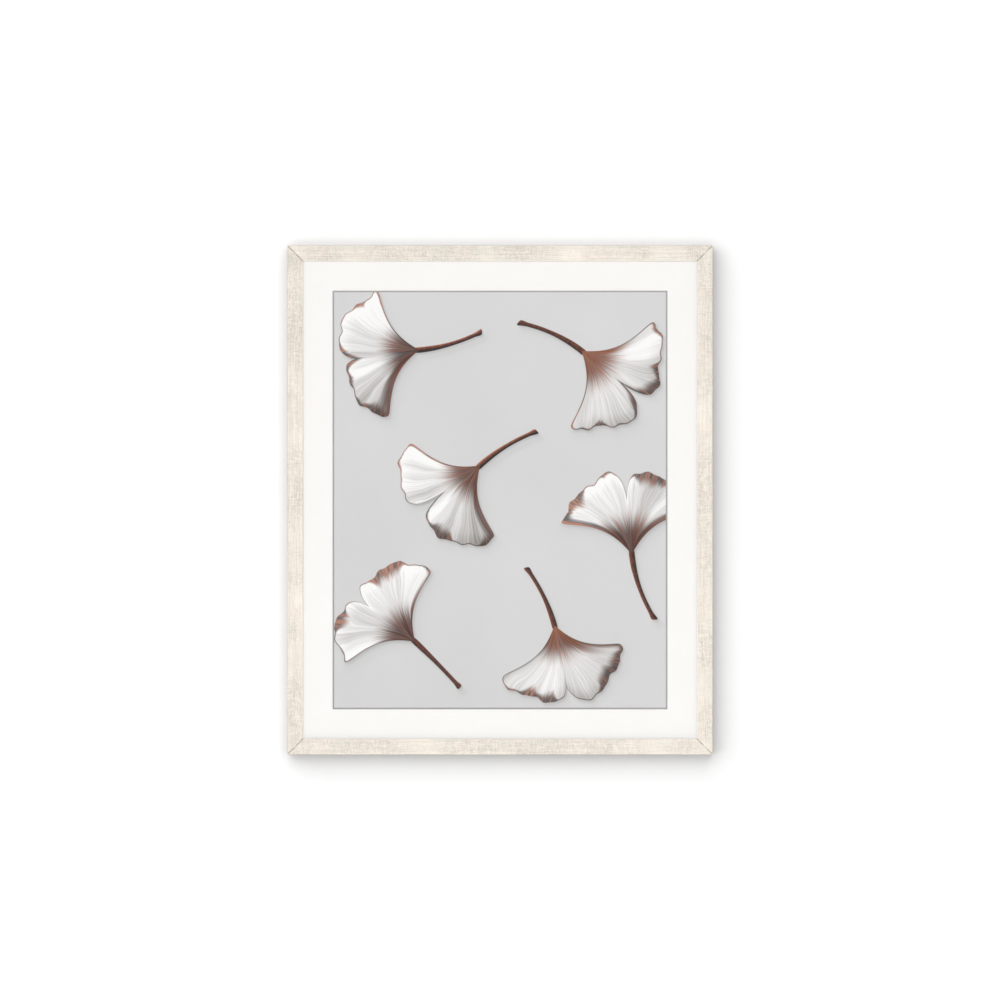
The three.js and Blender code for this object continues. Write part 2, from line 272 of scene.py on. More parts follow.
class Effect:
    """A node group that is built once and placed in many materials."""

    name = ""
    inputs: tuple[tuple[str, str, float | Sequence[float]], ...] = ()  # name, kind, default
    outputs: tuple[tuple[str, str], ...] = ()  # name, kind

    def tree(self) -> bpy.types.NodeTree:
        """The group's tree, built when it is first asked for.

        Returns:
            The tree.
        """
        made = bpy.data.node_groups.get(self.name)
        if made is not None:
            return made
        tree = bpy.data.node_groups.new(self.name, "ShaderNodeTree")
        for name, kind, value in self.inputs:
            socket = tree.interface.new_socket(name, in_out="INPUT", socket_type=f"NodeSocket{kind}")
            socket.default_value = value
        for name, kind in self.outputs:
            tree.interface.new_socket(name, in_out="OUTPUT", socket_type=f"NodeSocket{kind}")
        graph = Graph(tree)
        entry = graph.add("NodeGroupInput")
        results = self.draw(graph, {name: Wire(graph, entry.outputs[name]) for name, _, _ in self.inputs})
        graph.add("NodeGroupOutput", results)
        return tree

    def draw(self, g: Graph, given: Wires) -> Feeds:
        """Builds the group's inside.

        Args:
            g: The group's graph.
            given: Its inputs by name.

        Returns:
            Output name to what feeds it.
        """
        raise NotImplementedError


class Streaks(Effect):
    """Long thin random marks: noise squeezed across and drawn out along X."""

    name = "streaks"
    inputs = (
        ("Place", "Vector", (0, 0, 0)), ("Length", "Float", 30.0), ("Width", "Float", 1.0),
        ("Seed", "Float", 0.0),
    )
    outputs = (("Value", "Float"),)

    def draw(self, g: Graph, given: Wires) -> Feeds:
        """Noise, read at the place over (length, width, width), shifted by the seed.

        Args:
            g: The group's graph.
            given: Its inputs by name.

        Returns:
            The value.
        """
        squeeze = g.join(given["Length"], given["Width"], given["Width"])
        shift = g.join(given["Seed"], given["Seed"], given["Seed"])
        spot = g.vector("ADD", g.vector("DIVIDE", given["Place"], squeeze), shift)
        return {"Value": g.noise(spot, detail=2.5, roughness=0.55)}


class PaperTooth(Effect):
    """The tooth of card or paper: short fibres lying every way, and a faint cloudiness."""

    name = "paper_tooth"
    inputs = (("Place", "Vector", (0, 0, 0)), ("Fibre", "Float", 0.5), ("Cloud", "Float", 30.0))
    outputs = (("Tone", "Float"), ("Height", "Float"))
    slimness = 5.0  # a fibre's length over its width
    crossing = 1.9  # radians between the two sets of fibres
    fibres_share, clouds_share = 0.4, 0.6  # of the tone

    def draw(self, g: Graph, given: Wires) -> Feeds:
        """Two crossed sets of streaks, averaged, with wide noise under them.

        Args:
            g: The group's graph.
            given: Its inputs by name.

        Returns:
            The tone and the height.
        """
        place, width = given["Place"], given["Fibre"]
        length = width * self.slimness
        along = g.streaks(place, length, width, seed=3.0)
        across = g.streaks(g.turn(place, self.crossing), length, width, seed=11.0)
        height = (along + across) * 0.5
        cloud = g.noise(g.scale(place, 1.0 / given["Cloud"]))
        return {"Tone": height * self.fibres_share + cloud * self.clouds_share, "Height": height}


class Wear(Effect):
    """Handling marks: sparse thin scratches and blurred smudges."""

    name = "wear"
    inputs = (("Place", "Vector", (0, 0, 0)), ("Scratch", "Float", 0.25), ("Smudge", "Float", 12.0))
    outputs = (("Scratches", "Float"), ("Smudges", "Float"))
    slimness = 60.0  # a scratch's length over its width
    ways = ((0.5, 5.0), (2.3, 17.0))  # turn in radians and seed of each set of scratches
    crests = (0.70, 0.78)  # where the noise begins to be a scratch, and is one

    def draw(self, g: Graph, given: Wires) -> Feeds:
        """The highest crests of two streak fields are the scratches; wide noise gives the smudges.

        Args:
            g: The group's graph.
            given: Its inputs by name.

        Returns:
            The scratches and the smudges.
        """
        place, width = given["Place"], given["Scratch"]
        length = width * self.slimness
        fields = [g.streaks(g.turn(place, turn), length, width, seed) for turn, seed in self.ways]
        scratches = g.math("MAXIMUM", *(g.ramp(field, *self.crests) for field in fields))
        blur = g.noise(g.scale(place, 1.0 / given["Smudge"]), detail=3.0)
        return {"Scratches": scratches, "Smudges": g.ramp(blur, 0.40, 0.70)}


class PineGrain(Effect):
    """Bare pine: growth lines drawn out along X, with fine pores between them."""

    name = "pine_grain"
    inputs = (("Place", "Vector", (0, 0, 0)), ("Seed", "Float", 0.0))
    outputs = (("Colour", "Color"), ("Height", "Float"))
    early: Colour = (0.66, 0.44, 0.235)
    late: Colour = (0.43, 0.235, 0.10)
    ring_turns = 70.0  # radians of growth lines to a wander of 1
    line_share, pore_share = 0.62, 0.35  # how much of the late colour they take

    def draw(self, g: Graph, given: Wires) -> Feeds:
        """The growth lines are the crests of a sine of a slowly wandering distance across the grain.

        Args:
            g: The group's graph.
            given: Its inputs by name.

        Returns:
            The colour and the height.
        """
        place, seed = given["Place"], given["Seed"]
        wander = g.streaks(place, length=160.0, width=9.0, seed=seed)
        lines = g.ramp(g.sine(wander * self.ring_turns), 0.1, 1.0)
        pores = g.ramp(g.streaks(place, length=9.0, width=0.35, seed=seed), 0.35, 0.7)
        lined = g.mix(lines * self.line_share, self.early, self.late)
        return {
            "Colour": g.mix(pores * self.pore_share, lined, self.late),
            "Height": 1.0 - g.math("MAXIMUM", lines, pores),
        }


# ---------- the print's drawing: fan-shaped leaves, in millimetres ----------

BLADE_REACH = 80.0  # from the foot of the blade to its rim
STALK_LENGTH = 64.0
LIGHT_X, LIGHT_Y = -0.6, 0.8  # where the light on the drawn leaves comes from


class PickLeaf(Effect):
    """Keeps whichever of two leaves is nearer: the best so far, or the one placed here."""

    name = "pick_leaf"
    inputs = (
        ("Place", "Vector", (0, 0, 0)), ("Foot", "Vector", (0, 0, 0)), ("Turn", "Float", 0.0),
        ("Size", "Float", 1.0), ("Seed", "Float", 0.0), ("Best Distance", "Float", 1e6),
        ("Best Local", "Vector", (0, 0, 0)), ("Best Marks", "Vector", (0, 0, 0)),
    )
    outputs = (("Best Distance", "Float"), ("Best Local", "Vector"), ("Best Marks", "Vector"))

    def draw(self, g: Graph, given: Wires) -> Feeds:
        """The place is turned and scaled into the leaf's own frame, and its length there is compared.

        Args:
            g: The group's graph.
            given: Its inputs by name.

        Returns:
            The nearer leaf's distance, the place in its frame, and its turn, seed and size.
        """
        offset = g.vector("SUBTRACT", given["Place"], given["Foot"])
        local = g.scale(g.turn(offset, -given["Turn"]), 1.0 / given["Size"])
        distance = g.length(local)
        nearer = g.math("LESS_THAN", distance, given["Best Distance"])
        marks = g.join(given["Turn"], given["Seed"], given["Size"])
        return {
            "Best Distance": g.math("MINIMUM", distance, given["Best Distance"]),
            "Best Local": g.choose(nearer, given["Best Local"], local),
            "Best Marks": g.choose(nearer, given["Best Marks"], marks),
        }


class BladeOutline(Effect):
    """A fan-shaped blade: how deep inside its outline a place lies, and its polar coordinates."""

    name = "blade_outline"
    inputs = (("Local", "Vector", (0, 0, 0)), ("Seed", "Float", 0.0))
    outputs = (("Inside", "Float"), ("Radius", "Float"), ("Angle", "Float"), ("Share", "Float"))
    waves = (  # count, height, phase of each
        (5.0, 0.030, 2.1), (11.0, 0.020, 5.7), (23.0, 0.012, 1.3), (41.0, 0.006, 3.9),
    )
    notch_depth, notch_spread = 0.30, 0.10  # its usual depth, and how much that varies
    notch_steepness = 17.0
    notch_off_middle = 0.10  # radians, at most
    bow = 0.07  # how much shorter the fan is at its sides
    narrow, wide = 0.62, 1.08  # half the fan's opening at its foot and at its rim, in radians
    corner = 8.0

    def draw(self, g: Graph, given: Wires) -> Feeds:
        """The rim is a radius for each angle: a circle with waves on it, bowed, and with one notch.

        The sides are an angle for each radius: the fan opens as it grows. The nearer of the two limits,
        rounded where they meet, is the distance inside.

        Args:
            g: The group's graph.
            given: Its inputs by name.

        Returns:
            The distance inside, the radius, the angle, and the angle's share of half the opening.
        """
        x, y, _ = g.split(given["Local"])
        seed = given["Seed"]
        radius = g.length(given["Local"])
        angle = g.math("ARCTAN2", y, x)
        waves = sum(g.sine(angle * count + seed * phase) * height for count, height, phase in self.waves)
        from_notch = abs(angle - g.vary(seed, 3.3) * self.notch_off_middle)
        notch_depth = self.notch_depth + g.vary(seed, 7.7) * self.notch_spread
        notch = g.math("EXPONENT", from_notch * -self.notch_steepness) * notch_depth
        rim = 1.0 + waves - notch - angle * angle * self.bow
        half = g.ramp(radius, 0.0, BLADE_REACH * 1.05, self.narrow, self.wide)
        to_rim = rim * BLADE_REACH - radius
        to_side = (half - abs(angle)) * radius
        return {
            "Inside": g.math("SMOOTH_MIN", to_rim, to_side, self.corner),
            "Radius": radius,
            "Angle": angle,
            "Share": angle / half,
        }


class StalkOutline(Effect):
    """A bent stalk: how deep inside it a place lies, where across it from -1 to 1, and how far along."""

    name = "stalk_outline"
    inputs = (("Local", "Vector", (0, 0, 0)), ("Seed", "Float", 0.0))
    outputs = (("Inside", "Float"), ("Across", "Float"), ("Along", "Float"))
    bend = 19.0  # at its foot, at most
    top_half_width, half_width, foot_swell = 2.9, 2.0, 1.0
    overlap = 0.06  # of the stalk's length, over the blade
    corner = 3.0

    def draw(self, g: Graph, given: Wires) -> Feeds:
        """The middle line bends with the square of the way along; the width swells at the foot.

        The sideways distance to that line, times the cosine of its slope, is the distance across.

        Args:
            g: The group's graph.
            given: Its inputs by name.

        Returns:
            The distance inside, the place across and the share of the way along.
        """
        x, y, _ = g.split(given["Local"])
        along = x / -STALK_LENGTH
        bend = g.vary(given["Seed"], 5.3) * self.bend
        slope = along * bend * (2.0 / STALK_LENGTH)
        across = (y - along * along * bend) * g.math("INVERSE_SQRT", slope * slope + 1.0)
        width = g.ramp(along, 0.0, 0.6, self.top_half_width, self.half_width)
        width = width + g.ramp(along, 0.86, 1.0, 0.0, self.foot_swell)
        to_end = (1.0 - along) * STALK_LENGTH
        to_blade = (along + self.overlap) * STALK_LENGTH
        ends = g.math("MINIMUM", to_end, to_blade)
        return {
            "Inside": g.math("SMOOTH_MIN", width - abs(across), ends, self.corner),
            "Across": across / width,
            "Along": along,
        }


class LeafPaint(Effect):
    """The colours of one leaf, its stalk and their shadow, over a ground colour."""

    name = "leaf_paint"
    inputs = (
        ("Ground", "Color", (0.6, 0.6, 0.6, 1.0)), ("Local", "Vector", (0, 0, 0)),
        ("Marks", "Vector", (0, 0, 0)),
    )
    outputs = (("Colour", "Color"),)
    white: Colour = (0.90, 0.89, 0.885)
    shade: Colour = (0.26, 0.235, 0.215)
    russet: Colour = (0.138, 0.030, 0.011)
    russet_lit: Colour = (0.375, 0.118, 0.050)
    russet_dark: Colour = (0.010, 0.002, 0.001)
    shadow_step = (4.5, -6.0)
    shadows = ((1.0, 11.0, 0.10), (0.35, 4.0, 0.28))  # share of the step, blur, strength
    pleats = ((6.0, 0.60, 1.7), (13.0, 0.45, 4.1), (29.0, 0.30, 2.9))  # count, height, phase of each
    ribs, veins = 40.0, 115.0  # to half of the fan
    base_tone = 0.72
    pleat_light, dome_light, curl_light = 0.36, 0.42, 0.26
    rib_contrast, vein_contrast, streak_contrast = 0.75, 0.45, 1.1
    curl_width = 15.0
    dry_widths = (1.6, 15.0)  # the least and the most of the rim that is dry
    foot_cover, rim_cover = 0.94, 0.88
    twig_tone, twig_light, bark_contrast = 0.46, 0.62, 0.9
    edge = (-0.25, 0.35)  # how deep inside an outline its paint begins, and covers

    def lit_ahead(self, g: Graph, heading: Wire) -> Wire:
        """How far a heading faces the drawing's light, from -1 to 1."""
        return g.cosine(heading) * LIGHT_X + g.sine(heading) * LIGHT_Y

    def lit_beside(self, g: Graph, heading: Wire) -> Wire:
        """How far the left side of a heading faces the drawing's light, from -1 to 1."""
        return g.cosine(heading) * LIGHT_Y - g.sine(heading) * LIGHT_X

    def shadow(self, g: Graph, local: Wire, turn: Wire, seed: Wire) -> Wire:
        """The soft dark patches beside the leaf, one wide and one close.

        Args:
            g: The group's graph.
            local: Place in the leaf's frame.
            turn: The leaf's turn, in radians.
            seed: The leaf's seed.

        Returns:
            What the ground's colour is multiplied by.
        """
        step_x, step_y = self.shadow_step
        darkening: Feed = 1.0
        for reach, blur, strength in self.shadows:
            step = g.turn((step_x * reach, step_y * reach, 0.0), -turn)
            moved = g.vector("SUBTRACT", local, step)
            blade = g.ramp(g.place(BladeOutline(), Local=moved, Seed=seed)["Inside"], blur * -0.75, blur)
            stalk = g.ramp(g.place(StalkOutline(), Local=moved, Seed=seed)["Inside"], blur * -0.3, 2.0)
            darkening = darkening * (1.0 - g.math("MAXIMUM", blade, stalk * 0.75) * strength)
        return darkening

    def blade(self, g: Graph, outline: Wires, turn: Wire, seed: Wire) -> Wire:
        """The blade's colour: a ribbed and pleated dome that catches the light, with a curled rim.

        The pleats are lit by how far they face the light sideways, the dome and the curled rim by how far
        they face it outwards. With the ribs and veins they add up to a tone between shade and white.
        Russet covers the foot, and the rim where it is dry.

        Args:
            g: The group's graph.
            outline: The outputs of the blade's outline.
            turn: The leaf's turn, in radians.
            seed: The leaf's seed.

        Returns:
            The colour.
        """
        inside, radius, share = outline["Inside"], outline["Radius"], outline["Share"]
        heading = outline["Angle"] + turn
        outward = self.lit_ahead(g, heading)
        reach = radius / BLADE_REACH
        wander = g.noise(g.join(share * 1.6, reach, seed), scale=1.6)
        bent = share + g.uneven((wander, 0.22))
        pleats = sum(g.cosine(bent * count + seed * phase) * height for count, height, phase in self.pleats)
        lit = pleats * self.lit_beside(g, heading) * g.ramp(reach, 0.12, 0.85, 0.35, 1.0)
        dome = reach * outward - self.lit_ahead(g, turn) * 0.6
        curl = g.ramp(inside, self.curl_width, 0.0) * outward
        ribs = g.noise(g.join(bent * self.ribs, reach * 0.9, seed), detail=3.0)
        veins = g.noise(g.join(bent * self.veins, reach * 0.5, seed), detail=1.0)
        light = lit * self.pleat_light + dome * self.dome_light + curl * self.curl_light
        tone = self.base_tone + light + g.uneven((ribs, self.rib_contrast), (veins, self.vein_contrast))
        cream = g.mix(tone, self.shade, self.white)
        streaked = g.uneven((ribs, self.streak_contrast))
        foot = g.ramp(g.ramp(radius, 60.0, 8.0) + streaked, 0.22, 0.85) * g.ramp(radius, 62.0, 42.0)
        brown = g.mix(g.ramp(ribs, 0.42, 0.60), self.russet_dark, self.russet)
        brown = g.mix(g.ramp(dome * 0.25 + ribs, 0.48, 0.72), brown, self.russet_lit)
        footed = g.mix(foot * self.foot_cover, cream, brown)
        patch = g.noise(g.join(share * 2.6, seed, 0.5), detail=1.0)
        dry_width = g.ramp(patch, 0.47, 0.68, *self.dry_widths)
        dry = g.ramp(inside / dry_width - streaked, 1.0, 0.3)
        return g.mix(dry * self.rim_cover, footed, brown)

    def stalk(self, g: Graph, outline: Wires, turn: Wire, seed: Wire) -> Wire:
        """The stalk's colour: a round twig lit from one side.

        Args:
            g: The group's graph.
            outline: The outputs of the stalk's outline.
            turn: The leaf's turn, in radians.
            seed: The leaf's seed.

        Returns:
            The colour.
        """
        across, along = outline["Across"], outline["Along"]
        bark = g.noise(g.join(along * 26.0, across * 1.6, seed), detail=3.0)
        light = across * self.lit_beside(g, turn) * self.twig_light
        tone = self.twig_tone + light + g.uneven((bark, self.bark_contrast))
        lower = g.mix(g.ramp(tone, 0.22, 0.66), self.russet_dark, self.russet)
        return g.mix(g.ramp(tone, 0.58, 1.02), lower, self.russet_lit)

    def draw(self, g: Graph, given: Wires) -> Feeds:
        """The ground, then the shadow, the stalk and the blade over it.

        Args:
            g: The group's graph.
            given: Its inputs by name.

        Returns:
            The colour.
        """
        turn, seed, _ = g.split(given["Marks"])
        local = given["Local"]
        shadowed = g.mix(1.0, given["Ground"], self.shadow(g, local, turn, seed), "MULTIPLY")
        stalk = g.place(StalkOutline(), Local=local, Seed=seed)
        blade = g.place(BladeOutline(), Local=local, Seed=seed)
        on_stalk = g.ramp(stalk["Inside"], *self.edge)
        stalked = g.mix(on_stalk, shadowed, self.stalk(g, stalk, turn, seed))
        on_blade = g.ramp(blade["Inside"], *self.edge)
        return {"Colour": g.mix(on_blade, stalked, self.blade(g, blade, turn, seed))}


# ---------- finishes ----------


def emptied(owner: bpy.types.Material | bpy.types.World) -> Graph:
    """Clears the node tree of a material or a world.

    Args:
        owner: The material or the world.

    Returns:
        Its empty graph.
    """
    owner.use_nodes = True
    owner.node_tree.nodes.clear()
    return Graph(owner.node_tree)


def from_middle(g: Graph, place: Wire) -> tuple[Wire, Wire]:
    """How far right of the picture's middle a place in millimetres lies, and how far above it."""
    right, _, up = g.split(g.vector("SUBTRACT", place, PICTURE_MIDDLE * TO_MM))
    return right, up


@dataclass(frozen=True)
class Finish:
    """A material, and the name of the record slot that it is meant for, which this script keeps but doesn't
    use.
    """

    name: str
    slot: str

    def material(self) -> bpy.types.Material:
        """The finish as a material, built when it is first asked for.

        Returns:
            The material.
        """
        label = f"{self.name}_finish"
        made = bpy.data.materials.get(label)
        if made is not None:
            return made
        material = bpy.data.materials.new(label)
        g = emptied(material)
        place = g.scale(g.read("Object", "ShaderNodeTexCoord"), TO_MM)
        shader = g.read("BSDF", "ShaderNodeBsdfPrincipled", self.surface(g, place))
        g.add("ShaderNodeOutputMaterial", {"Surface": shader})
        return material

    def surface(self, g: Graph, place: Wire) -> Feeds:
        """What feeds the Principled shader.

        Args:
            g: The material's graph.
            place: Object coordinates in millimetres.

        Returns:
            Input name to what feeds it.
        """
        raise NotImplementedError


class RailSide(Enum):
    """A side of the frame: the axis along its rail, the axis across it, and which way is outwards."""

    TOP = ("x", "z", 1)
    BOTTOM = ("x", "z", -1)
    LEFT = ("z", "x", -1)
    RIGHT = ("z", "x", 1)

    def __init__(self, along: str, across: str, outward: int) -> None:
        """Names the parts of the side's value.

        Args:
            along: The axis that the rail runs along.
            across: The axis from its outer edge to its sight edge.
            outward: 1 where outwards is the positive way across, otherwise -1.
        """
        self.along = along
        self.across = across
        self.outward = outward

    @property
    def node(self) -> str:
        """The name of the rail's node."""
        return f"rail_{self.name.lower()}"

    @property
    def number(self) -> int:
        """The side's place in the list of sides, from 0."""
        return list(RailSide).index(self)

    @property
    def outer_edge(self) -> float:
        """Where the rail's outer edge lies, across it."""
        return getattr(FRAME_HIGH if self.outward > 0 else FRAME_LOW, self.across)

    @property
    def middle(self) -> float:
        """Where the picture's middle lies, along the rail."""
        return getattr(PICTURE_MIDDLE, self.along)

    @property
    def half_length(self) -> float:
        """How far the outer corner is from the picture's middle, along the rail."""
        return (getattr(FRAME_HIGH, self.along) - getattr(FRAME_LOW, self.along)) / 2.0


@dataclass(frozen=True)
class LeafedWood(Finish):
    """Champagne leaf, rubbed along the rail and lightly across it; bare pine behind and in the rabbet.

    Sizes and places are in millimetres. A place on the rail is how far along it, how far in from its
    outer edge, and how far behind the back plane, which is less than 0 in the wood.
    """

    side: RailSide
    back_plane: float
    depth: float
    face: float
    lip_depth: float
    back_land: float
    filled_at: float = 8.5  # how far in from the outer edge the mitre is filled
    filler_spread: float = 9.0
    painted_sight_highlight: float = 1.22  # painted highlight: how much brighter the sight edge is painted
    most_worn: float = 0.45
    raggedness: float = 0.8
    warm: Colour = (0.622, 0.560, 0.496)
    cool: Colour = (0.608, 0.566, 0.498)
    worn: Colour = (0.46, 0.39, 0.32)
    joint: Colour = (0.36, 0.31, 0.25)
    pine_roughness: float = 0.78

    @property
    def seed(self) -> float:
        """What sets this rail's pattern apart from the others'."""
        return 10.0 * (self.side.number + 1)

    def on_rail(self, g: Graph, place: Wire) -> Wire:
        """Turns a place in object coordinates into a place on the rail.

        Args:
            g: The material's graph.
            place: Object coordinates in millimetres.

        Returns:
            Place on the rail.
        """
        parts = dict(zip("xyz", g.split(place)))
        inward = (self.side.outer_edge * TO_MM - parts[self.side.across]) * self.side.outward
        return g.join(parts[self.side.along], inward, parts["y"] - self.back_plane)

    def layers(self, g: Graph, rail: Wire) -> Wires:
        """The random layers that the leaf is made of.

        The patches run the rail's whole width, the broad, fine and hair-thin streaks lie along it, the
        weave crosses it, and the speckle lies every way.

        Args:
            g: The material's graph.
            rail: Place on the rail.

        Returns:
            The layers by name, each about 0.5.
        """
        along, inward, depth = g.split(rail)
        crossed = g.join(inward, along, depth)
        return {
            "patches": g.streaks(rail, length=56.0, width=90.0, seed=self.seed),
            "broad": g.streaks(rail, length=60.0, width=1.5, seed=self.seed + 1.0),
            "fine": g.streaks(rail, length=9.0, width=1.3, seed=self.seed + 2.0),
            "weave": g.streaks(crossed, length=8.0, width=1.2, seed=self.seed + 3.0),
            "hair": g.streaks(rail, length=24.0, width=0.4, seed=self.seed + 4.0),
            "speckle": g.noise(rail, scale=0.60),
        }

    def leaf(self, g: Graph, rail: Wire, layers: Wires) -> Wire:
        """The leaf's colour: the layers add up to its tone, the fine ones most in the darker patches.

        Over the last millimetre before the sight edge it is painted brighter, a painted highlight against
        the shade of that edge's rounding. Within about a millimetre of the front's outer corner it is worn
        thin in places.

        Args:
            g: The material's graph.
            rail: Place on the rail.
            layers: The random layers.

        Returns:
            The colour.
        """
        _, inward, depth = g.split(rail)
        even = g.uneven((layers["patches"], 0.46), (layers["broad"], 0.44), (layers["hair"], 0.34))
        coarse = g.uneven((layers["fine"], 0.46), (layers["weave"], 0.44), (layers["speckle"], 0.36))
        coarseness = g.ramp(layers["patches"], 0.60, 0.42, 0.55, 1.30)
        # painted highlight: the leaf is made brighter over the last millimetre before the sight edge
        painted_sight_highlight = g.ramp(inward, self.face - 1.3, self.face - 0.3, 1.0, self.painted_sight_highlight)
        tone = (1.0 + even + coarse * coarseness) * painted_sight_highlight
        hue = g.ramp(g.noise(g.scale(rail, 0.04)), 0.35, 0.65)
        leaf = g.scale(g.mix(hue, self.warm, self.cool), tone)
        rubbed = g.ramp(g.place(Wear(), Place=rail, Scratch=0.3, Smudge=9.0)["Smudges"], 0.35, 0.9)
        corner = g.ramp(inward, 1.0, 0.2) * g.ramp(depth, 1.6 - self.depth, 0.4 - self.depth)
        return g.mix(rubbed * corner * self.most_worn, leaf, self.worn)

    def hairline(self, g: Graph, rail: Wire) -> Wire:
        """Where the mitre's dark line shows: up to a millimetre from the joint, least where it is filled.

        Args:
            g: The material's graph.
            rail: Place on the rail.

        Returns:
            0 to 1.
        """
        along, inward, _ = g.split(rail)
        to_end = self.side.half_length * TO_MM - abs(along - self.side.middle * TO_MM)
        from_joint = (to_end - inward) / math.sqrt(2.0)
        crumbled = g.noise(rail, scale=0.22, detail=1.0)
        from_filler = abs(inward - self.filled_at) + g.uneven((crumbled, self.filler_spread))
        return g.ramp(from_joint, 1.0, 0.3) * g.ramp(from_filler, 0.6, 2.8, 0.2, 1.0)

    def bare(self, g: Graph, rail: Wire, broad: Wire) -> Wire:
        """Where there is no leaf: on the back, from a ragged edge, and in the rabbet.

        Args:
            g: The material's graph.
            rail: Place on the rail.
            broad: The layer that makes the edge ragged.

        Returns:
            0 to 1.
        """
        _, inward, depth = g.split(rail)
        behind = g.ramp(depth + g.uneven((broad, self.raggedness)), -0.60, -0.42)
        floor = self.lip_depth - self.depth
        past_land = g.ramp(inward, self.back_land - 0.3, self.back_land - 0.1)
        return g.math("MAXIMUM", behind, past_land * g.ramp(depth, floor - 0.2, floor + 0.1))

    def surface(self, g: Graph, place: Wire) -> Feeds:
        """Leaf, with the mitre's line over it, and pine where it is bare.

        Args:
            g: The material's graph.
            place: Object coordinates in millimetres.

        Returns:
            Input name to what feeds it.
        """
        rail = self.on_rail(g, place)
        layers = self.layers(g, rail)
        leafed = g.mix(self.hairline(g, rail), self.leaf(g, rail, layers), self.joint)
        bare = self.bare(g, rail, layers["broad"])
        pine = g.place(PineGrain(), Place=rail, Seed=self.seed)
        relief = layers["broad"] * 0.5 + layers["fine"] * 0.4 + layers["weave"] * 0.35
        leaf_roughness = g.ramp(layers["patches"], 0.3, 0.7, 0.62, 0.52)
        return {
            "Base Color": g.mix(bare, leafed, pine["Colour"]),
            "Metallic": 0.0,
            "Roughness": g.between(bare, leaf_roughness, self.pine_roughness),
            "Normal": g.bump(g.between(bare, relief, pine["Height"]), 0.06 * MM, 0.8),
            "Specular IOR Level": 0.35,
        }


@dataclass(frozen=True)
class ClearGlass(Finish):
    """Thin polished picture glass, a breath of green in it."""

    tint: Colour = (0.990, 0.995, 0.992)
    most_rough: float = 0.012

    def surface(self, g: Graph, place: Wire) -> Feeds:
        """Clear, with faint polishing marks in the gloss.

        Args:
            g: The material's graph.
            place: Object coordinates in millimetres.

        Returns:
            Input name to what feeds it.
        """
        polish = g.place(Wear(), Place=place, Scratch=0.2, Smudge=60.0)
        return {
            "Base Color": self.tint,
            "Roughness": polish["Smudges"] * self.most_rough,
            "IOR": 1.45,
            "Transmission Weight": 1.0,
        }


@dataclass(frozen=True)
class Card(Finish):
    """Board or paper of one colour, with its tooth."""

    colour: Colour
    fibre: float = 0.5
    cloud: float = 40.0
    contrast: float = 0.03
    tooth_depth: float = 0.03 * MM

    def surface(self, g: Graph, place: Wire) -> Feeds:
        """Even colour, a little lighter and darker with the tooth.

        Args:
            g: The material's graph.
            place: Object coordinates in millimetres.

        Returns:
            Input name to what feeds it.
        """
        tooth = g.place(PaperTooth(), Place=place, Fibre=self.fibre, Cloud=self.cloud)
        return {
            "Base Color": g.scale(self.colour, 1.0 + g.uneven((tooth["Tone"], self.contrast))),
            "Roughness": 0.9,
            "Specular IOR Level": 0.25,
            "Normal": g.bump(tooth["Height"], self.tooth_depth, 0.6),
        }


@dataclass(frozen=True)
class MatCard(Card):
    """Off-white card whose grey core shows where the window is cut on a slope; the core's grey is also
    painted shade, dark enough to stand for the shade along the window's edge.
    """

    # grey core, also painted shade: dark enough to stand for the shade along the window's edge
    core: Colour = (0.43, 0.425, 0.427)
    window_width: float = 406.4  # at the front of the card, in millimetres
    window_height: float = 508.0
    cut_edge: float = 0.1

    def surface(self, g: Graph, place: Wire) -> Feeds:
        """Card, and the grey core, which is also painted edge shade, wherever a place lies within the
        window's front edge.

        Args:
            g: The material's graph.
            place: Object coordinates in millimetres.

        Returns:
            Input name to what feeds it.
        """
        feeds = super().surface(g, place)
        right, up = from_middle(g, place)
        inside = g.math("MINIMUM", self.window_width / 2.0 - abs(right), self.window_height / 2.0 - abs(up))
        # the window's bevel takes the grey core, which is also painted shade along the window's edge
        feeds["Base Color"] = g.mix(g.ramp(inside, 0.0, self.cut_edge), feeds["Base Color"], self.core)
        return feeds


@dataclass(frozen=True)
class Leaf:
    """One drawn leaf."""

    right: float  # where its foot is, in mm right of the picture's middle
    up: float  # and above it
    points_to: float  # degrees, counter-clockwise from the right
    size: float
    seed: float  # settles its waves, notch, pleats and bend


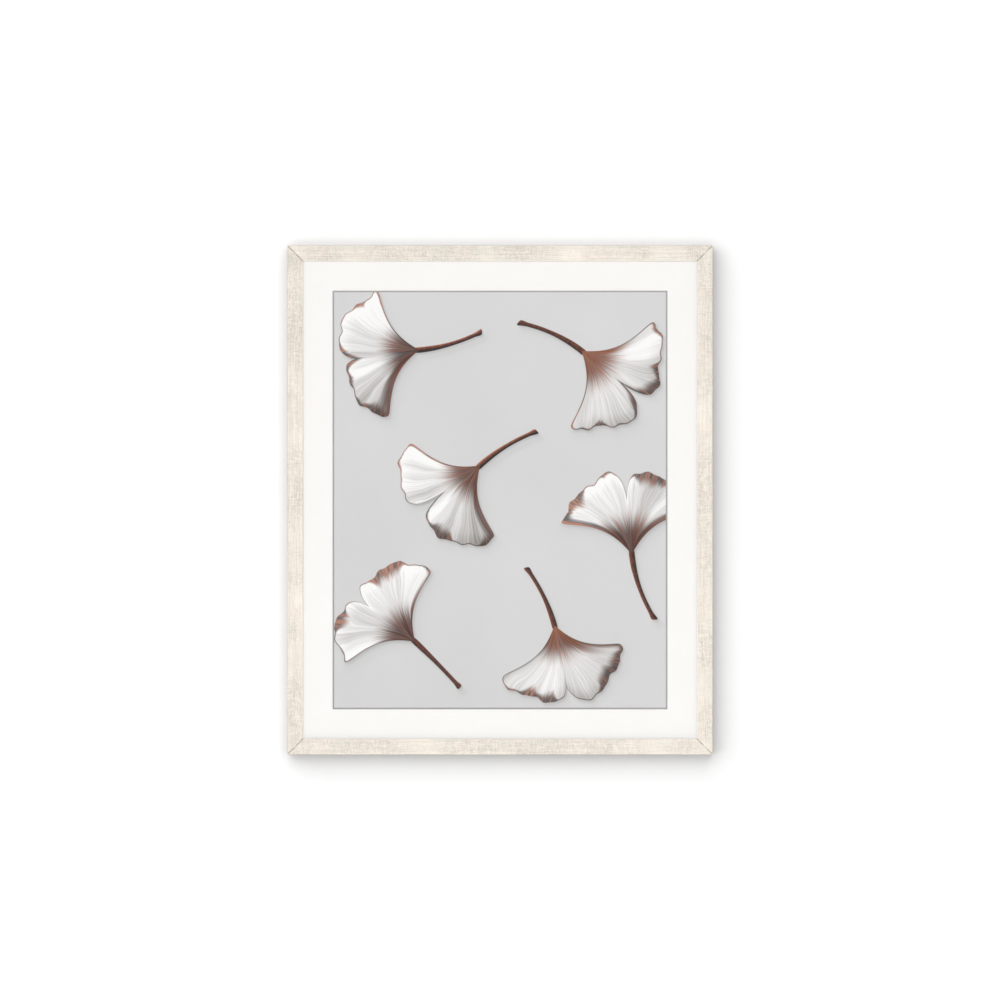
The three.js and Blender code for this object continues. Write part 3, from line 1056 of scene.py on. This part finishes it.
@dataclass(frozen=True)
class PrintedPaper(Finish):
    """Matt art paper, printed with fan-shaped white leaves scattered on light grey."""

    ground: Colour = (0.637, 0.630, 0.633)
    wash_size: float = 190.0
    wash_contrast: float = 0.10
    slope: float = 0.00006  # how much lighter the ground grows with each millimetre right and up
    grain_contrast: float = 0.03
    leaves: tuple[Leaf, ...] = (
        Leaf(99.0, 181.0, -38.0, 1.28, 1.0),
        Leaf(-103.0, -172.0, 137.0, 1.22, 2.4),
        Leaf(66.0, -152.0, -75.0, 1.20, 3.1),
        Leaf(-98.0, 182.0, 185.0, 1.22, 4.6),
        Leaf(-24.0, 42.0, 222.0, 1.24, 5.2),
        Leaf(160.0, -66.0, 96.0, 1.28, 6.7),
    )

    def surface(self, g: Graph, place: Wire) -> Feeds:
        """Each place is painted by its nearest leaf, over a ground that varies a little.

        Args:
            g: The material's graph.
            place: Object coordinates in millimetres.

        Returns:
            Input name to what feeds it.
        """
        right, up = from_middle(g, place)
        flat = g.join(right, up)
        wash = g.noise(g.scale(flat, 1.0 / self.wash_size), detail=1.0)
        level = 1.0 + g.uneven((wash, self.wash_contrast)) + (right + up) * self.slope
        nearest: Wires = {}
        for leaf in self.leaves:
            foot, turn = (leaf.right, leaf.up, 0.0), math.radians(leaf.points_to)
            nearest = g.place(
                PickLeaf(), Place=flat, Foot=foot, Turn=turn, Size=leaf.size, Seed=leaf.seed, **nearest,
            )
        local, marks = nearest["Best Local"], nearest["Best Marks"]
        ground = g.scale(self.ground, level)
        painted = g.place(LeafPaint(), Ground=ground, Local=local, Marks=marks)["Colour"]
        tooth = g.place(PaperTooth(), Place=place, Fibre=0.35, Cloud=70.0)["Height"]
        return {
            "Base Color": g.scale(painted, 1.0 + g.uneven((tooth, self.grain_contrast))),
            "Roughness": 0.72,
            "Specular IOR Level": 0.3,
            "Normal": g.bump(tooth, 0.02 * MM, 0.5),
        }


@dataclass(frozen=True)
class Hardboard(Finish):
    """Brown pressed hardboard, screen side out: a fine woven dimple with painted shade in its hollows,
    mottled fibres and pale scuffs.
    """

    brown: Colour = (0.285, 0.150, 0.072)
    dark: Colour = (0.228, 0.116, 0.054)
    # painted shade: the colour that the screen's dimples are darkened towards
    dimple_shade: Colour = (0.120, 0.055, 0.025)
    pale: Colour = (0.43, 0.29, 0.17)
    pitch: float = 1.7
    warp: float = 3.0  # how far the screen's lines wander, in radians
    # how strongly the painted shade darkens the dimples
    dimple_shade_share: float = 0.5
    scratch_share: float = 0.5
    smudge_share: float = 0.08

    def surface(self, g: Graph, place: Wire) -> Feeds:
        """The screen's dimples are the product of two sines, one across and one up; painted shade darkens
        them where the screen is low.

        Args:
            g: The material's graph.
            place: Object coordinates in millimetres.

        Returns:
            Input name to what feeds it.
        """
        x, _, z = g.split(place)
        turns = 2.0 * math.pi / self.pitch
        warp = g.noise(g.scale(place, 0.15)) * self.warp
        screen = g.ramp(g.sine(x * turns + warp) * g.sine(z * turns + warp), -0.8, 0.9)
        tooth = g.place(PaperTooth(), Place=place, Fibre=0.45, Cloud=38.0)
        marks = g.place(Wear(), Place=g.join(x, z), Scratch=0.35, Smudge=45.0)
        mottle = g.ramp(tooth["Tone"], 0.36, 0.64)
        board = g.mix(mottle, self.dark, self.brown)
        # painted shade: the board darkens towards the dimple colour where the screen is low
        dimple_shaded = g.mix((1.0 - screen) * self.dimple_shade_share, board, self.dimple_shade)
        scratches, smudges = marks["Scratches"] * self.scratch_share, marks["Smudges"] * self.smudge_share
        return {
            "Base Color": g.mix(g.math("MAXIMUM", scratches, smudges), dimple_shaded, self.pale),
            "Roughness": g.ramp(mottle, 0.0, 1.0, 0.62, 0.82),
            "Specular IOR Level": 0.35,
            "Normal": g.bump(tooth["Height"] * 0.5 + screen * 0.7, 0.22 * MM, 0.9),
        }


@dataclass(frozen=True)
class StampedMetal(Finish):
    """Sheet metal or wire: rolling lines, scratches and a little tarnish."""

    bright: Colour = (0.42, 0.43, 0.44)
    tarnish: Colour = (0.22, 0.21, 0.20)
    gloss: float = 0.30
    dull: float = 0.5
    line_share: float = 0.25
    stain_share: float = 0.36

    def surface(self, g: Graph, place: Wire) -> Feeds:
        """Tarnish gathers in the smudges and dulls the gloss.

        Args:
            g: The material's graph.
            place: Object coordinates in millimetres.

        Returns:
            Input name to what feeds it.
        """
        rolled = g.streaks(place, length=14.0, width=0.25, seed=2.0)
        marks = g.place(Wear(), Place=place, Scratch=0.12, Smudge=3.5)
        lined = g.mix(g.ramp(rolled, 0.35, 0.7) * self.line_share, self.bright, self.tarnish)
        return {
            "Base Color": g.mix(marks["Smudges"] * self.stain_share, lined, self.tarnish),
            "Metallic": 1.0,
            "Roughness": g.between(marks["Smudges"], self.gloss, self.dull),
            "Normal": g.bump(rolled - marks["Scratches"] * 0.5, 0.01 * MM),
        }


@dataclass(frozen=True)
class CloudyRubber(Finish):
    """A soft, slightly cloudy pad with dust on it."""

    body: Colour = (0.66, 0.65, 0.61)
    dust: Colour = (0.50, 0.47, 0.42)
    most_dust: float = 0.5
    clean_roughness: float = 0.28
    dusty_roughness: float = 0.7

    def surface(self, g: Graph, place: Wire) -> Feeds:
        """Dust lies in the smudges.

        Args:
            g: The material's graph.
            place: Object coordinates in millimetres.

        Returns:
            Input name to what feeds it.
        """
        smudges = g.place(Wear(), Place=place, Scratch=0.1, Smudge=2.0)["Smudges"]
        dusty = smudges * self.most_dust
        return {
            "Base Color": g.mix(dusty, self.body, self.dust),
            "Roughness": g.between(dusty, self.clean_roughness, self.dusty_roughness),
            "Subsurface Weight": 0.35,
            "Subsurface Radius": (2.0 * MM, 2.0 * MM, 1.8 * MM),
            "Subsurface Scale": 0.6,
            "Normal": g.bump(smudges, 0.02 * MM, 0.5),
        }


# ---------- meshes ----------


def added(name: str, data: bpy.types.ID) -> bpy.types.Object:
    """A new object in the scene, at the origin.

    Args:
        name: The object's name.
        data: Its mesh, light or camera.

    Returns:
        The object.
    """
    thing = bpy.data.objects.new(name, data)
    bpy.context.scene.collection.objects.link(thing)
    return thing


def corners(mesh: bpy.types.Mesh) -> tuple[np.ndarray, np.ndarray, np.ndarray]:
    """A mesh's face corners, face after face.

    Args:
        mesh: The mesh.

    Returns:
        The vertex of each corner, the edge that starts there, and its face's normal.
    """
    count, faces = len(mesh.loops), len(mesh.polygons)
    vertices, edges = np.empty((2, count), dtype=int)
    sizes, normals = np.empty(faces, dtype=int), np.empty(faces * 3)
    mesh.loops.foreach_get("vertex_index", vertices)
    mesh.loops.foreach_get("edge_index", edges)
    mesh.polygons.foreach_get("loop_total", sizes)
    mesh.polygons.foreach_get("normal", normals)
    return vertices, edges, np.repeat(normals.reshape(-1, 3), sizes, axis=0)


def soften(mesh: bpy.types.Mesh) -> None:
    """Shades a mesh smooth, but for its sharp edges.

    An edge's turn is the angle between the normals of the first and the last face that use it.

    Args:
        mesh: The mesh.
    """
    _, edges, normals = corners(mesh)
    first, last = np.zeros((2, len(mesh.edges), 3))
    first[edges[::-1]] = normals[::-1]
    last[edges] = normals
    cosine = np.sum(first * last, axis=1)
    mesh.polygons.foreach_set("use_smooth", np.ones(len(mesh.polygons), dtype=bool))
    mesh.edges.foreach_set("use_edge_sharp", cosine < math.cos(SHARP))


def new_piece(name: str, points: np.ndarray, faces: Sequence[Sequence[int]]) -> bpy.types.Object:
    """A new object, smooth but for its sharp edges, with its faces pointing out.

    Args:
        name: The object's name.
        points: The vertices, one row each, in metres.
        faces: Vertex numbers of each face.

    Returns:
        The object.
    """
    mesh = bpy.data.meshes.new(name)
    mesh.from_pydata(points.tolist(), [], faces)
    shell = bmesh.new()
    shell.from_mesh(mesh)
    bmesh.ops.recalc_face_normals(shell, faces=shell.faces)
    shell.to_mesh(mesh)
    shell.free()
    soften(mesh)
    return added(name, mesh)


def merged_copy(node: str, name: str) -> bpy.types.Mesh:
    """A copy of a node's mesh with its doubles merged and its flat faces joined.

    Args:
        node: The node.
        name: The new mesh's name.

    Returns:
        The mesh.
    """
    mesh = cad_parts[node].data.copy()
    mesh.name = name
    mesh.materials.clear()
    shell = bmesh.new()
    shell.from_mesh(mesh)
    bmesh.ops.remove_doubles(shell, verts=shell.verts, dist=WELD)
    bmesh.ops.dissolve_limit(shell, angle_limit=FLAT, verts=shell.verts, edges=shell.edges)
    bmesh.ops.recalc_face_normals(shell, faces=shell.faces)
    shell.to_mesh(mesh)
    shell.free()
    return mesh


def rounded_copy(node: str, name: str, width: float) -> bpy.types.Object:
    """A copy of a node with its edges rounded.

    Args:
        node: The node that it stands for.
        name: The new object's name.
        width: How far the rounding reaches from an edge, in metres.

    Returns:
        The object.
    """
    mesh = merged_copy(node, name)
    soften(mesh)
    piece = added(name, mesh)
    rounding = piece.modifiers.new("rounding", "BEVEL")
    rounding.width = width
    rounding.segments = 2
    rounding.limit_method = "ANGLE"
    rounding.angle_limit = ROUNDED
    rounding.harden_normals = True
    return piece


def grid_faces(rows: int, columns: int, wrap: bool) -> list[list[int]]:
    """The four-sided faces of a grid of points.

    Args:
        rows: Points the long way.
        columns: Points in each row.
        wrap: Whether the last column joins the first.

    Returns:
        The four vertex numbers of each face.
    """
    steps = columns if wrap else columns - 1
    row, column = np.meshgrid(np.arange(rows - 1), np.arange(steps), indexing="ij")
    here, after = row * columns + column, row * columns + (column + 1) % columns
    sides = (here, after, after + columns, here + columns)
    return np.stack([side.ravel() for side in sides], axis=1).tolist()


def arc(centre: tuple[float, float], radius: float, start: float, end: float, steps: int) -> np.ndarray:
    """Points round part of a circle, from a first angle to a last one in radians, as rows of two."""
    angle = np.linspace(start, end, steps)
    return np.stack([centre[0] + radius * np.cos(angle), centre[1] + radius * np.sin(angle)], axis=1)


def swept(name: str, rings: np.ndarray) -> bpy.types.Object:
    """A closed bar: rings of points joined one to the next, with a flat face on each end.

    Args:
        name: The object's name.
        rings: Points as (ring, point, xyz), in metres.

    Returns:
        The object.
    """
    count, size, _ = rings.shape
    ends = [list(range(size)), list(range((count - 1) * size, count * size))]
    return new_piece(name, rings.reshape(-1, 3), grid_faces(count, size, wrap=True) + ends)


def revolved(node: str, name: str, profile: np.ndarray, sides: int) -> bpy.types.Object:
    """A shape of revolution: each profile point goes round a circle of its radius.

    The circles lie round the line along Y through the middle of the node that the shape stands for.

    Args:
        node: That node.
        name: The object's name.
        profile: (radius, y) rows, from pole to pole; the first and last radius are 0.
        sides: Points to a circle.

    Returns:
        The object.
    """
    low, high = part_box(node)
    middle = (low + high) / 2.0
    angle = np.linspace(0.0, 2.0 * math.pi, sides, endpoint=False)
    radius, y = profile[1:-1, :1], profile[1:-1, 1:]
    x = middle.x + radius * np.cos(angle)
    z = middle.z + radius * np.sin(angle)
    points = np.stack([x, np.broadcast_to(y, x.shape), z], axis=2).reshape(-1, 3)
    poles = [[middle.x, end, middle.z] for end in profile[[0, -1], 1]]
    first, last, top = len(points), len(points) + 1, len(points) - sides
    after = [(side + 1) % sides for side in range(sides)]
    fans = [[first, side, after[side]] for side in range(sides)]
    fans += [[last, top + after[side], top + side] for side in range(sides)]
    return new_piece(name, np.vstack([points, poles]), grid_faces(len(radius), sides, wrap=True) + fans)


def carved(piece: bpy.types.Object, tools: Sequence[bpy.types.Object]) -> None:
    """Cuts tools out of a piece and removes them.

    Args:
        piece: What is cut; its mesh is replaced.
        tools: Closed meshes.
    """
    for tool in tools:
        cut = piece.modifiers.new(tool.name, "BOOLEAN")
        cut.object = tool
        cut.operation = "DIFFERENCE"
        cut.solver = "EXACT"
    bpy.context.view_layer.update()
    depsgraph = bpy.context.evaluated_depsgraph_get()
    mesh = bpy.data.meshes.new_from_object(piece.evaluated_get(depsgraph))
    piece.modifiers.clear()
    piece.data = mesh
    if "custom_normal" in mesh.attributes:
        mesh.attributes.remove(mesh.attributes["custom_normal"])
    soften(mesh)
    for tool in tools:
        bpy.data.objects.remove(tool)


def dress(piece: bpy.types.Object, finish: Finish) -> None:
    """Gives a piece, or a node's object, its finish.

    Args:
        piece: The object.
        finish: The finish.
    """
    piece.data.materials.clear()
    piece.data.materials.append(finish.material())
    LOG.info("%s is dressed in %s", piece.name, finish.name)


def fit(piece: bpy.types.Object, node: str, finish: Finish) -> None:
    """Dresses a new piece and puts it in a node's place.

    Args:
        piece: The new object.
        node: The node that it stands for.
        finish: Its finish.
    """
    dress(piece, finish)
    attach(piece, BODY)
    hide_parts(node)
    LOG.info("%s stands for %s", piece.name, node)


# ---------- the frame ----------


@dataclass
class Moulding:
    """The four mitred rails. A rail's section is a block with two rounded front edges and a rabbet."""

    outer_round: float = 0.8 * MM
    sight_round: float = 0.5 * MM
    lip_depth: float = 4.5 * MM
    rabbet: float = 6.2 * MM
    mitre_gap: float = 0.18 * MM
    pocket_gap: float = 0.3 * MM
    nail_overrun: float = 1.0 * MM
    station: float = 3.5 * MM
    outer_wear: float = 0.22  # how much the roundings vary, as a share of them
    sight_wear: float = 0.11
    round_steps: int = 9  # points on each rounding
    side_steps: int = 5  # on the outer side
    flat_steps: int = 8  # and on the flat front
    wander: tuple[tuple[float, float, float], ...] = (  # wavelength, height and phase of each sine
        (83.0 * MM, 0.5, 1.7), (31.0 * MM, 0.3, 2.7), (13.1 * MM, 0.2, 3.7),
    )
    back: float = field(init=False)
    depth: float = field(init=False)
    face: float = field(init=False)

    def __post_init__(self) -> None:
        """Reads the rails' back plane, depth and face width off the frame."""
        low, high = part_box(RailSide.TOP.node)
        self.back, self.depth, self.face = high.y, high.y - low.y, high.z - low.z

    @property
    def back_land(self) -> float:
        """The flat wood beside the rabbet, seen from behind."""
        return self.face - self.rabbet

    def rubbing(self, along: np.ndarray, seed: float) -> np.ndarray:
        """How rounded the hand-rubbed edges are, from -1 to 1: three sines of unlike wavelengths."""
        turns = 4.0 * QUARTER * along
        return sum(high * np.sin(turns / long + seed * phase) for long, high, phase in self.wander)

    def section(self, rubbed: float) -> np.ndarray:
        """The section as (inward, y) rows, for one place along the rail.

        Args:
            rubbed: -1 to 1, how much rounder than usual the edges are there.

        Returns:
            The closed outline's points.
        """
        outer = self.outer_round * (1.0 + self.outer_wear * rubbed)
        sight = self.sight_round * (1.0 + self.sight_wear * rubbed)
        front = self.back - self.depth
        floor = front + self.lip_depth
        flat_end = self.face - sight
        outside = np.linspace([0.0, self.back], [0.0, front + outer], self.side_steps)[:-1]
        outer_arc = arc((outer, front + outer), outer, 2.0 * QUARTER, 3.0 * QUARTER, self.round_steps)
        flat = np.linspace([outer, front], [flat_end, front], self.flat_steps)[1:-1]
        sight_arc = arc((flat_end, front + sight), sight, 3.0 * QUARTER, 4.0 * QUARTER, self.round_steps)
        rabbet = np.array([[self.face, floor], [self.back_land, floor], [self.back_land, self.back]])
        return np.vstack([outside, outer_arc, flat, sight_arc, rabbet])

    def rail(self, side: RailSide) -> bpy.types.Object:
        """One rail: its section carried along, each of its lines running from mitre to mitre.

        Args:
            side: Which rail.

        Returns:
            The rail.
        """
        count = int(2.0 * side.half_length / self.station)
        share = np.linspace(-1.0, 1.0, count)
        rubbed = self.rubbing(share * side.half_length, float(side.number))
        sections = np.stack([self.section(value) for value in rubbed])
        inward, y = sections[..., 0], sections[..., 1]
        reach = side.half_length - inward - self.mitre_gap / math.sqrt(2.0)
        parts = {
            side.along: side.middle + share[:, None] * reach,
            side.across: side.outer_edge - side.outward * inward,
            "y": y,
        }
        piece = swept(f"{side.node}_leafed", np.stack([parts[axis] for axis in "xyz"], axis=2))
        carved(piece, self.pockets(side))
        return piece

    def pockets(self, side: RailSide) -> list[bpy.types.Object]:
        """The cutters for what is let into a rail: the nails and points whose boxes meet the rail's.

        Args:
            side: Which rail.

        Returns:
            The cutters.
        """
        low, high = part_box(side.node)
        tools = []
        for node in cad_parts:
            node_low, node_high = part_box(node)
            apart = any(node_low[i] > high[i] or node_high[i] < low[i] for i in range(3))
            if node.startswith(("v_nail_", "hanger_nail_", "point_")) and not apart:
                tools.append(self.cutter(node))
        return tools

    def cutter(self, node: str) -> bpy.types.Object:
        """A node's solid, grown by the gap round it; a V-nail's also runs out past the back.

        Each vertex moves by the gap, along every axis on which the normals round it don't cancel out.

        Args:
            node: The let-in node.

        Returns:
            The cutter.
        """
        mesh = merged_copy(node, f"pocket_{node}")
        vertices, _, normals = corners(mesh)
        summed = np.zeros((len(mesh.vertices), 3))
        np.add.at(summed, vertices, normals)
        points = np.empty(len(mesh.vertices) * 3)
        mesh.vertices.foreach_get("co", points)
        points = points.reshape(-1, 3) + np.sign(np.round(summed, 3)) * self.pocket_gap
        if node.startswith("v_nail_"):
            points[points[:, 1] > self.back - 2.0 * self.pocket_gap, 1] += self.nail_overrun
        mesh.vertices.foreach_set("co", points.ravel())
        mesh.update()
        return added(f"pocket_{node}", mesh)

    def build(self) -> None:
        """Makes the four rails and dresses them."""
        sizes = {
            "back_plane": self.back, "depth": self.depth, "face": self.face, "lip_depth": self.lip_depth,
            "back_land": self.back_land,
        }
        in_mm = {name: size * TO_MM for name, size in sizes.items()}
        for side in RailSide:
            finish = LeafedWood(f"leafed_{side.name.lower()}_rail", "leafed_wood", side=side, **in_mm)
            fit(self.rail(side), side.node, finish)


@dataclass
class Package:
    """What lies in the rabbet: glass, mat, print and boards, and the steel that holds it all together."""

    board_rounding: float = 0.3 * MM
    steel_rounding: float = 0.12 * MM
    mat_white: Colour = (0.895, 0.875, 0.853)
    foam_white: Colour = (0.82, 0.81, 0.78)

    def layers(self) -> None:
        """Dresses the flat layers, and rounds the edges of the board that shows behind.

        The glass casts no shadow: a rendered one would darken the print far more than real glass does.
        """
        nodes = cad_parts
        dress(nodes["picture_glass"], ClearGlass("picture_glass", "picture_glass"))
        nodes["picture_glass"].visible_shadow = False
        dress(nodes["window_mat"], MatCard("mat_card", "mat_card", self.mat_white, contrast=0.02))
        dress(nodes["print_sheet"], PrintedPaper("printed_paper", "art_paper"))
        dress(nodes["mount_board"], Card("foam_card", "foam_card", self.foam_white))
        board = rounded_copy("backing_board", "backing_hardboard", self.board_rounding)
        fit(board, "backing_board", Hardboard("hardboard", "hardboard"))

    def steel(self) -> None:
        """Makes the points in the rabbet and the V-nails in the mitres."""
        steel = StampedMetal("spring_steel", "spring_steel")
        for node in sorted(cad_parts):
            if node.startswith(("point_", "v_nail_")):
                fit(rounded_copy(node, f"{node}_steel", self.steel_rounding), node, steel)

    def build(self) -> None:
        """Makes and dresses all of it."""
        self.layers()
        self.steel()


@dataclass
class HangingHardware:
    """The sawtooth hanger with its nails, and the bumpers that keep the picture off the wall."""

    hanger_rounding: float = 0.14 * MM
    shank_radius: float = 0.7 * MM
    head_height: float = 0.8 * MM
    head_rim: float = 0.18 * MM
    point_length: float = 1.6 * MM
    bumper_skirt: float = 1.0 * MM
    bumper_flat: float = 3.0 * MM
    bumper_foot: float = 0.1 * MM
    rim_steps: int = 7
    dome_steps: int = 8
    shoulder_steps: int = 14
    nail_sides: int = 40
    bumper_sides: int = 56
    plate: StampedMetal = StampedMetal(
        "brass_plate", "plated_steel", bright=(0.58, 0.41, 0.20), tarnish=(0.30, 0.19, 0.085),
        gloss=0.26, dull=0.45,
    )
    pad: CloudyRubber = CloudyRubber("cloudy_rubber", "clear_rubber")

    def nail(self, node: str) -> bpy.types.Object:
        """A small nail: a pointed shank, and a low domed head that is a quarter of an ellipse to the pole.

        Args:
            node: The node that it stands for.

        Returns:
            The nail.
        """
        low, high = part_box(node)
        neck = high.y - self.head_height
        point_end = low.y + self.point_length
        shank = np.array([[0.0, low.y], [self.shank_radius, point_end], [self.shank_radius, neck]])
        rim_middle = ((high.x - low.x) / 2.0 - self.head_rim, neck + self.head_rim)
        rim = arc(rim_middle, self.head_rim, -QUARTER, QUARTER / 2.0, self.rim_steps)
        rim_radius, rim_y = rim[-1]
        share = np.linspace(0.0, 1.0, self.dome_steps)[1:]
        rise = (high.y - rim_y) * np.sin(share * QUARTER)
        dome = np.stack([rim_radius * (1.0 - share), rim_y + rise], axis=1)
        return revolved(node, f"{node}_brassed", np.vstack([shank, rim, dome]), self.nail_sides)

    def bumper(self, node: str) -> bpy.types.Object:
        """A soft round pad: an upright skirt, an elliptical shoulder and a flat top.

        Args:
            node: The node that it stands for.

        Returns:
            The bumper.
        """
        low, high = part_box(node)
        radius = (high.x - low.x) / 2.0
        skirt = low.y + self.bumper_skirt
        turn = np.linspace(0.0, QUARTER, self.shoulder_steps)
        out = self.bumper_flat + (radius - self.bumper_flat) * np.cos(turn)
        shoulder = np.stack([out, skirt + (high.y - skirt) * np.sin(turn)], axis=1)
        foot_end = low.y + self.bumper_foot
        foot = np.array([[0.0, low.y], [radius - self.bumper_foot, low.y], [radius, foot_end]])
        profile = np.vstack([foot, shoulder, [[0.0, high.y]]])
        return revolved(node, f"{node}_pad", profile, self.bumper_sides)

    def build(self) -> None:
        """Makes and dresses the hanger, its nails and the bumpers."""
        hanger = rounded_copy("sawtooth_hanger", "sawtooth_hanger_brassed", self.hanger_rounding)
        fit(hanger, "sawtooth_hanger", self.plate)
        for node in ("hanger_nail_left", "hanger_nail_right"):
            fit(self.nail(node), node, self.plate)
        for node in ("bumper_left", "bumper_right"):
            fit(self.bumper(node), node, self.pad)


# ---------- the studio ----------


@dataclass(frozen=True)
class Sun:
    """A broad even light from one direction. It falls on the studio's sheet alone, or on all but that."""

    name: str
    source: tuple[float, float, float]
    strength: float
    spread: float  # degrees
    on_sheet: bool = False

    def hang(self, sheet: bpy.types.Object) -> None:
        """Puts the light in the scene; the glass takes no highlight from it.

        Args:
            sheet: The studio's wall and floor.
        """
        lamp = bpy.data.lights.new(self.name, "SUN")
        lamp.energy = self.strength
        lamp.angle = math.radians(self.spread)
        lamp.cycles.use_multiple_importance_sampling = False
        light = added(self.name, lamp)
        light.rotation_euler = Vector(self.source).to_track_quat("Z", "Y").to_euler()
        receivers = bpy.data.collections.new(f"{self.name}_receivers")
        for receiver in (sheet,) if self.on_sheet else (sheet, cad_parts["picture_glass"]):
            receivers.objects.link(receiver)
        for entry in receivers.collection_objects:
            entry.light_linking.link_state = "INCLUDE" if self.on_sheet else "EXCLUDE"
        light.light_linking.receiver_collection = receivers


@dataclass
class Studio:
    """A white wall that curves into a pale floor, soft light and the camera straight in front."""

    drop: float = 1.45  # from the picture's middle to the floor
    rise: float = 1.6
    half_width: float = 4.0
    reach: float = 6.0
    fold: float = 0.25
    fold_steps: int = 24
    lens: float = 300.0
    shown_width: float = 1.2124
    wall_white: float = 0.32
    floor_white: float = 0.50
    ambient: float = 0.30
    suns: tuple[Sun, ...] = (
        Sun("wall_key", (-0.36, -1.0, 0.44), 10.0, 105.0, on_sheet=True),
        Sun("picture_key", (-0.02, -1.0, 0.03), 2.49, 8.0),
        Sun("back_key", (0.35, 1.0, 0.45), 2.3, 100.0),
    )

    @property
    def floor(self) -> float:
        """The floor's height."""
        return PICTURE_MIDDLE.z - self.drop

    def room(self) -> bpy.types.Object:
        """The wall and floor as one sheet: a profile of wall, quarter circle and floor, carried along X.

        It casts no shadow, so that the light from behind it reaches the picture's back.

        Returns:
            The sheet, its faces to the front.
        """
        wall = CAD_BOX[1].y
        bend = arc((wall - self.fold, self.floor + self.fold), self.fold, 0.0, -QUARTER, self.fold_steps)
        profile = np.vstack([[wall, PICTURE_MIDDLE.z + self.rise], bend, [wall - self.reach, self.floor]])
        x = np.broadcast_to([[-self.half_width], [self.half_width]], (2, len(profile)))
        y, z = (np.broadcast_to(part, x.shape) for part in profile.T)
        mesh = bpy.data.meshes.new("studio_sheet")
        points = np.stack([x, y, z], axis=2).reshape(-1, 3).tolist()
        mesh.from_pydata(points, [], grid_faces(2, len(profile), wrap=False))
        soften(mesh)
        if mesh.polygons[0].normal.y > 0.0:
            mesh.flip_normals()
        mesh.materials.append(self.paint())
        sheet = added("studio_sheet", mesh)
        sheet.visible_shadow = False
        return sheet

    def paint(self) -> bpy.types.Material:
        """White paint that shows from the front only, lighter on the floor than on the wall.

        Returns:
            The material.
        """
        material = bpy.data.materials.new("studio_paint")
        g = emptied(material)
        _, _, height = g.split(g.read("Object", "ShaderNodeTexCoord"))
        fold_end = self.floor + self.fold
        grey = g.ramp(height, fold_end, fold_end + 2.0 * self.fold, self.floor_white, self.wall_white)
        feeds = {"Base Color": g.join(grey, grey, grey), "Roughness": 0.95, "Specular IOR Level": 0.0}
        white = g.read("BSDF", "ShaderNodeBsdfPrincipled", feeds)
        clear = g.read("BSDF", "ShaderNodeBsdfTransparent")
        behind = g.read("Backfacing", "ShaderNodeNewGeometry")
        both = g.read(0, "ShaderNodeMixShader", {0: behind, 1: white, 2: clear})
        g.add("ShaderNodeOutputMaterial", {"Surface": both})
        return material

    def sky(self) -> None:
        """Even light from all round; the camera sees it white."""
        world = bpy.data.worlds.new("studio_air")
        g = emptied(world)
        strength = g.between(g.read("Is Camera Ray", "ShaderNodeLightPath"), self.ambient, 1.0)
        air = g.read(0, "ShaderNodeBackground", {"Color": (1.0, 1.0, 1.0), "Strength": strength})
        g.add("ShaderNodeOutputWorld", {"Surface": air})
        bpy.context.scene.world = world

    def camera(self) -> None:
        """The camera, level with the picture's middle, as far off as its lens needs for the shown width."""
        data = bpy.data.cameras.new("camera")
        data.lens = self.lens
        distance = self.lens / data.sensor_width * self.shown_width
        camera = added("camera", data)
        camera.location = (PICTURE_MIDDLE.x, FRAME_LOW.y - distance, PICTURE_MIDDLE.z)
        camera.rotation_euler = (QUARTER, 0.0, 0.0)
        bpy.context.scene.camera = camera

    def build(self) -> None:
        """Sets up the room, the light and the camera."""
        sheet = self.room()
        for sun in self.suns:
            sun.hang(sheet)
        self.sky()
        self.camera()
        bpy.context.scene.view_settings.view_transform = "Standard"


def main() -> None:
    """Builds the picture and its studio."""
    logging.basicConfig(level=logging.INFO, format="%(name)s: %(message)s")
    for part in (Moulding(), Package(), HangingHardware(), Studio()):
        part.build()
        LOG.info("%s done", type(part).__name__)


if __name__ == "__main__":
    main()
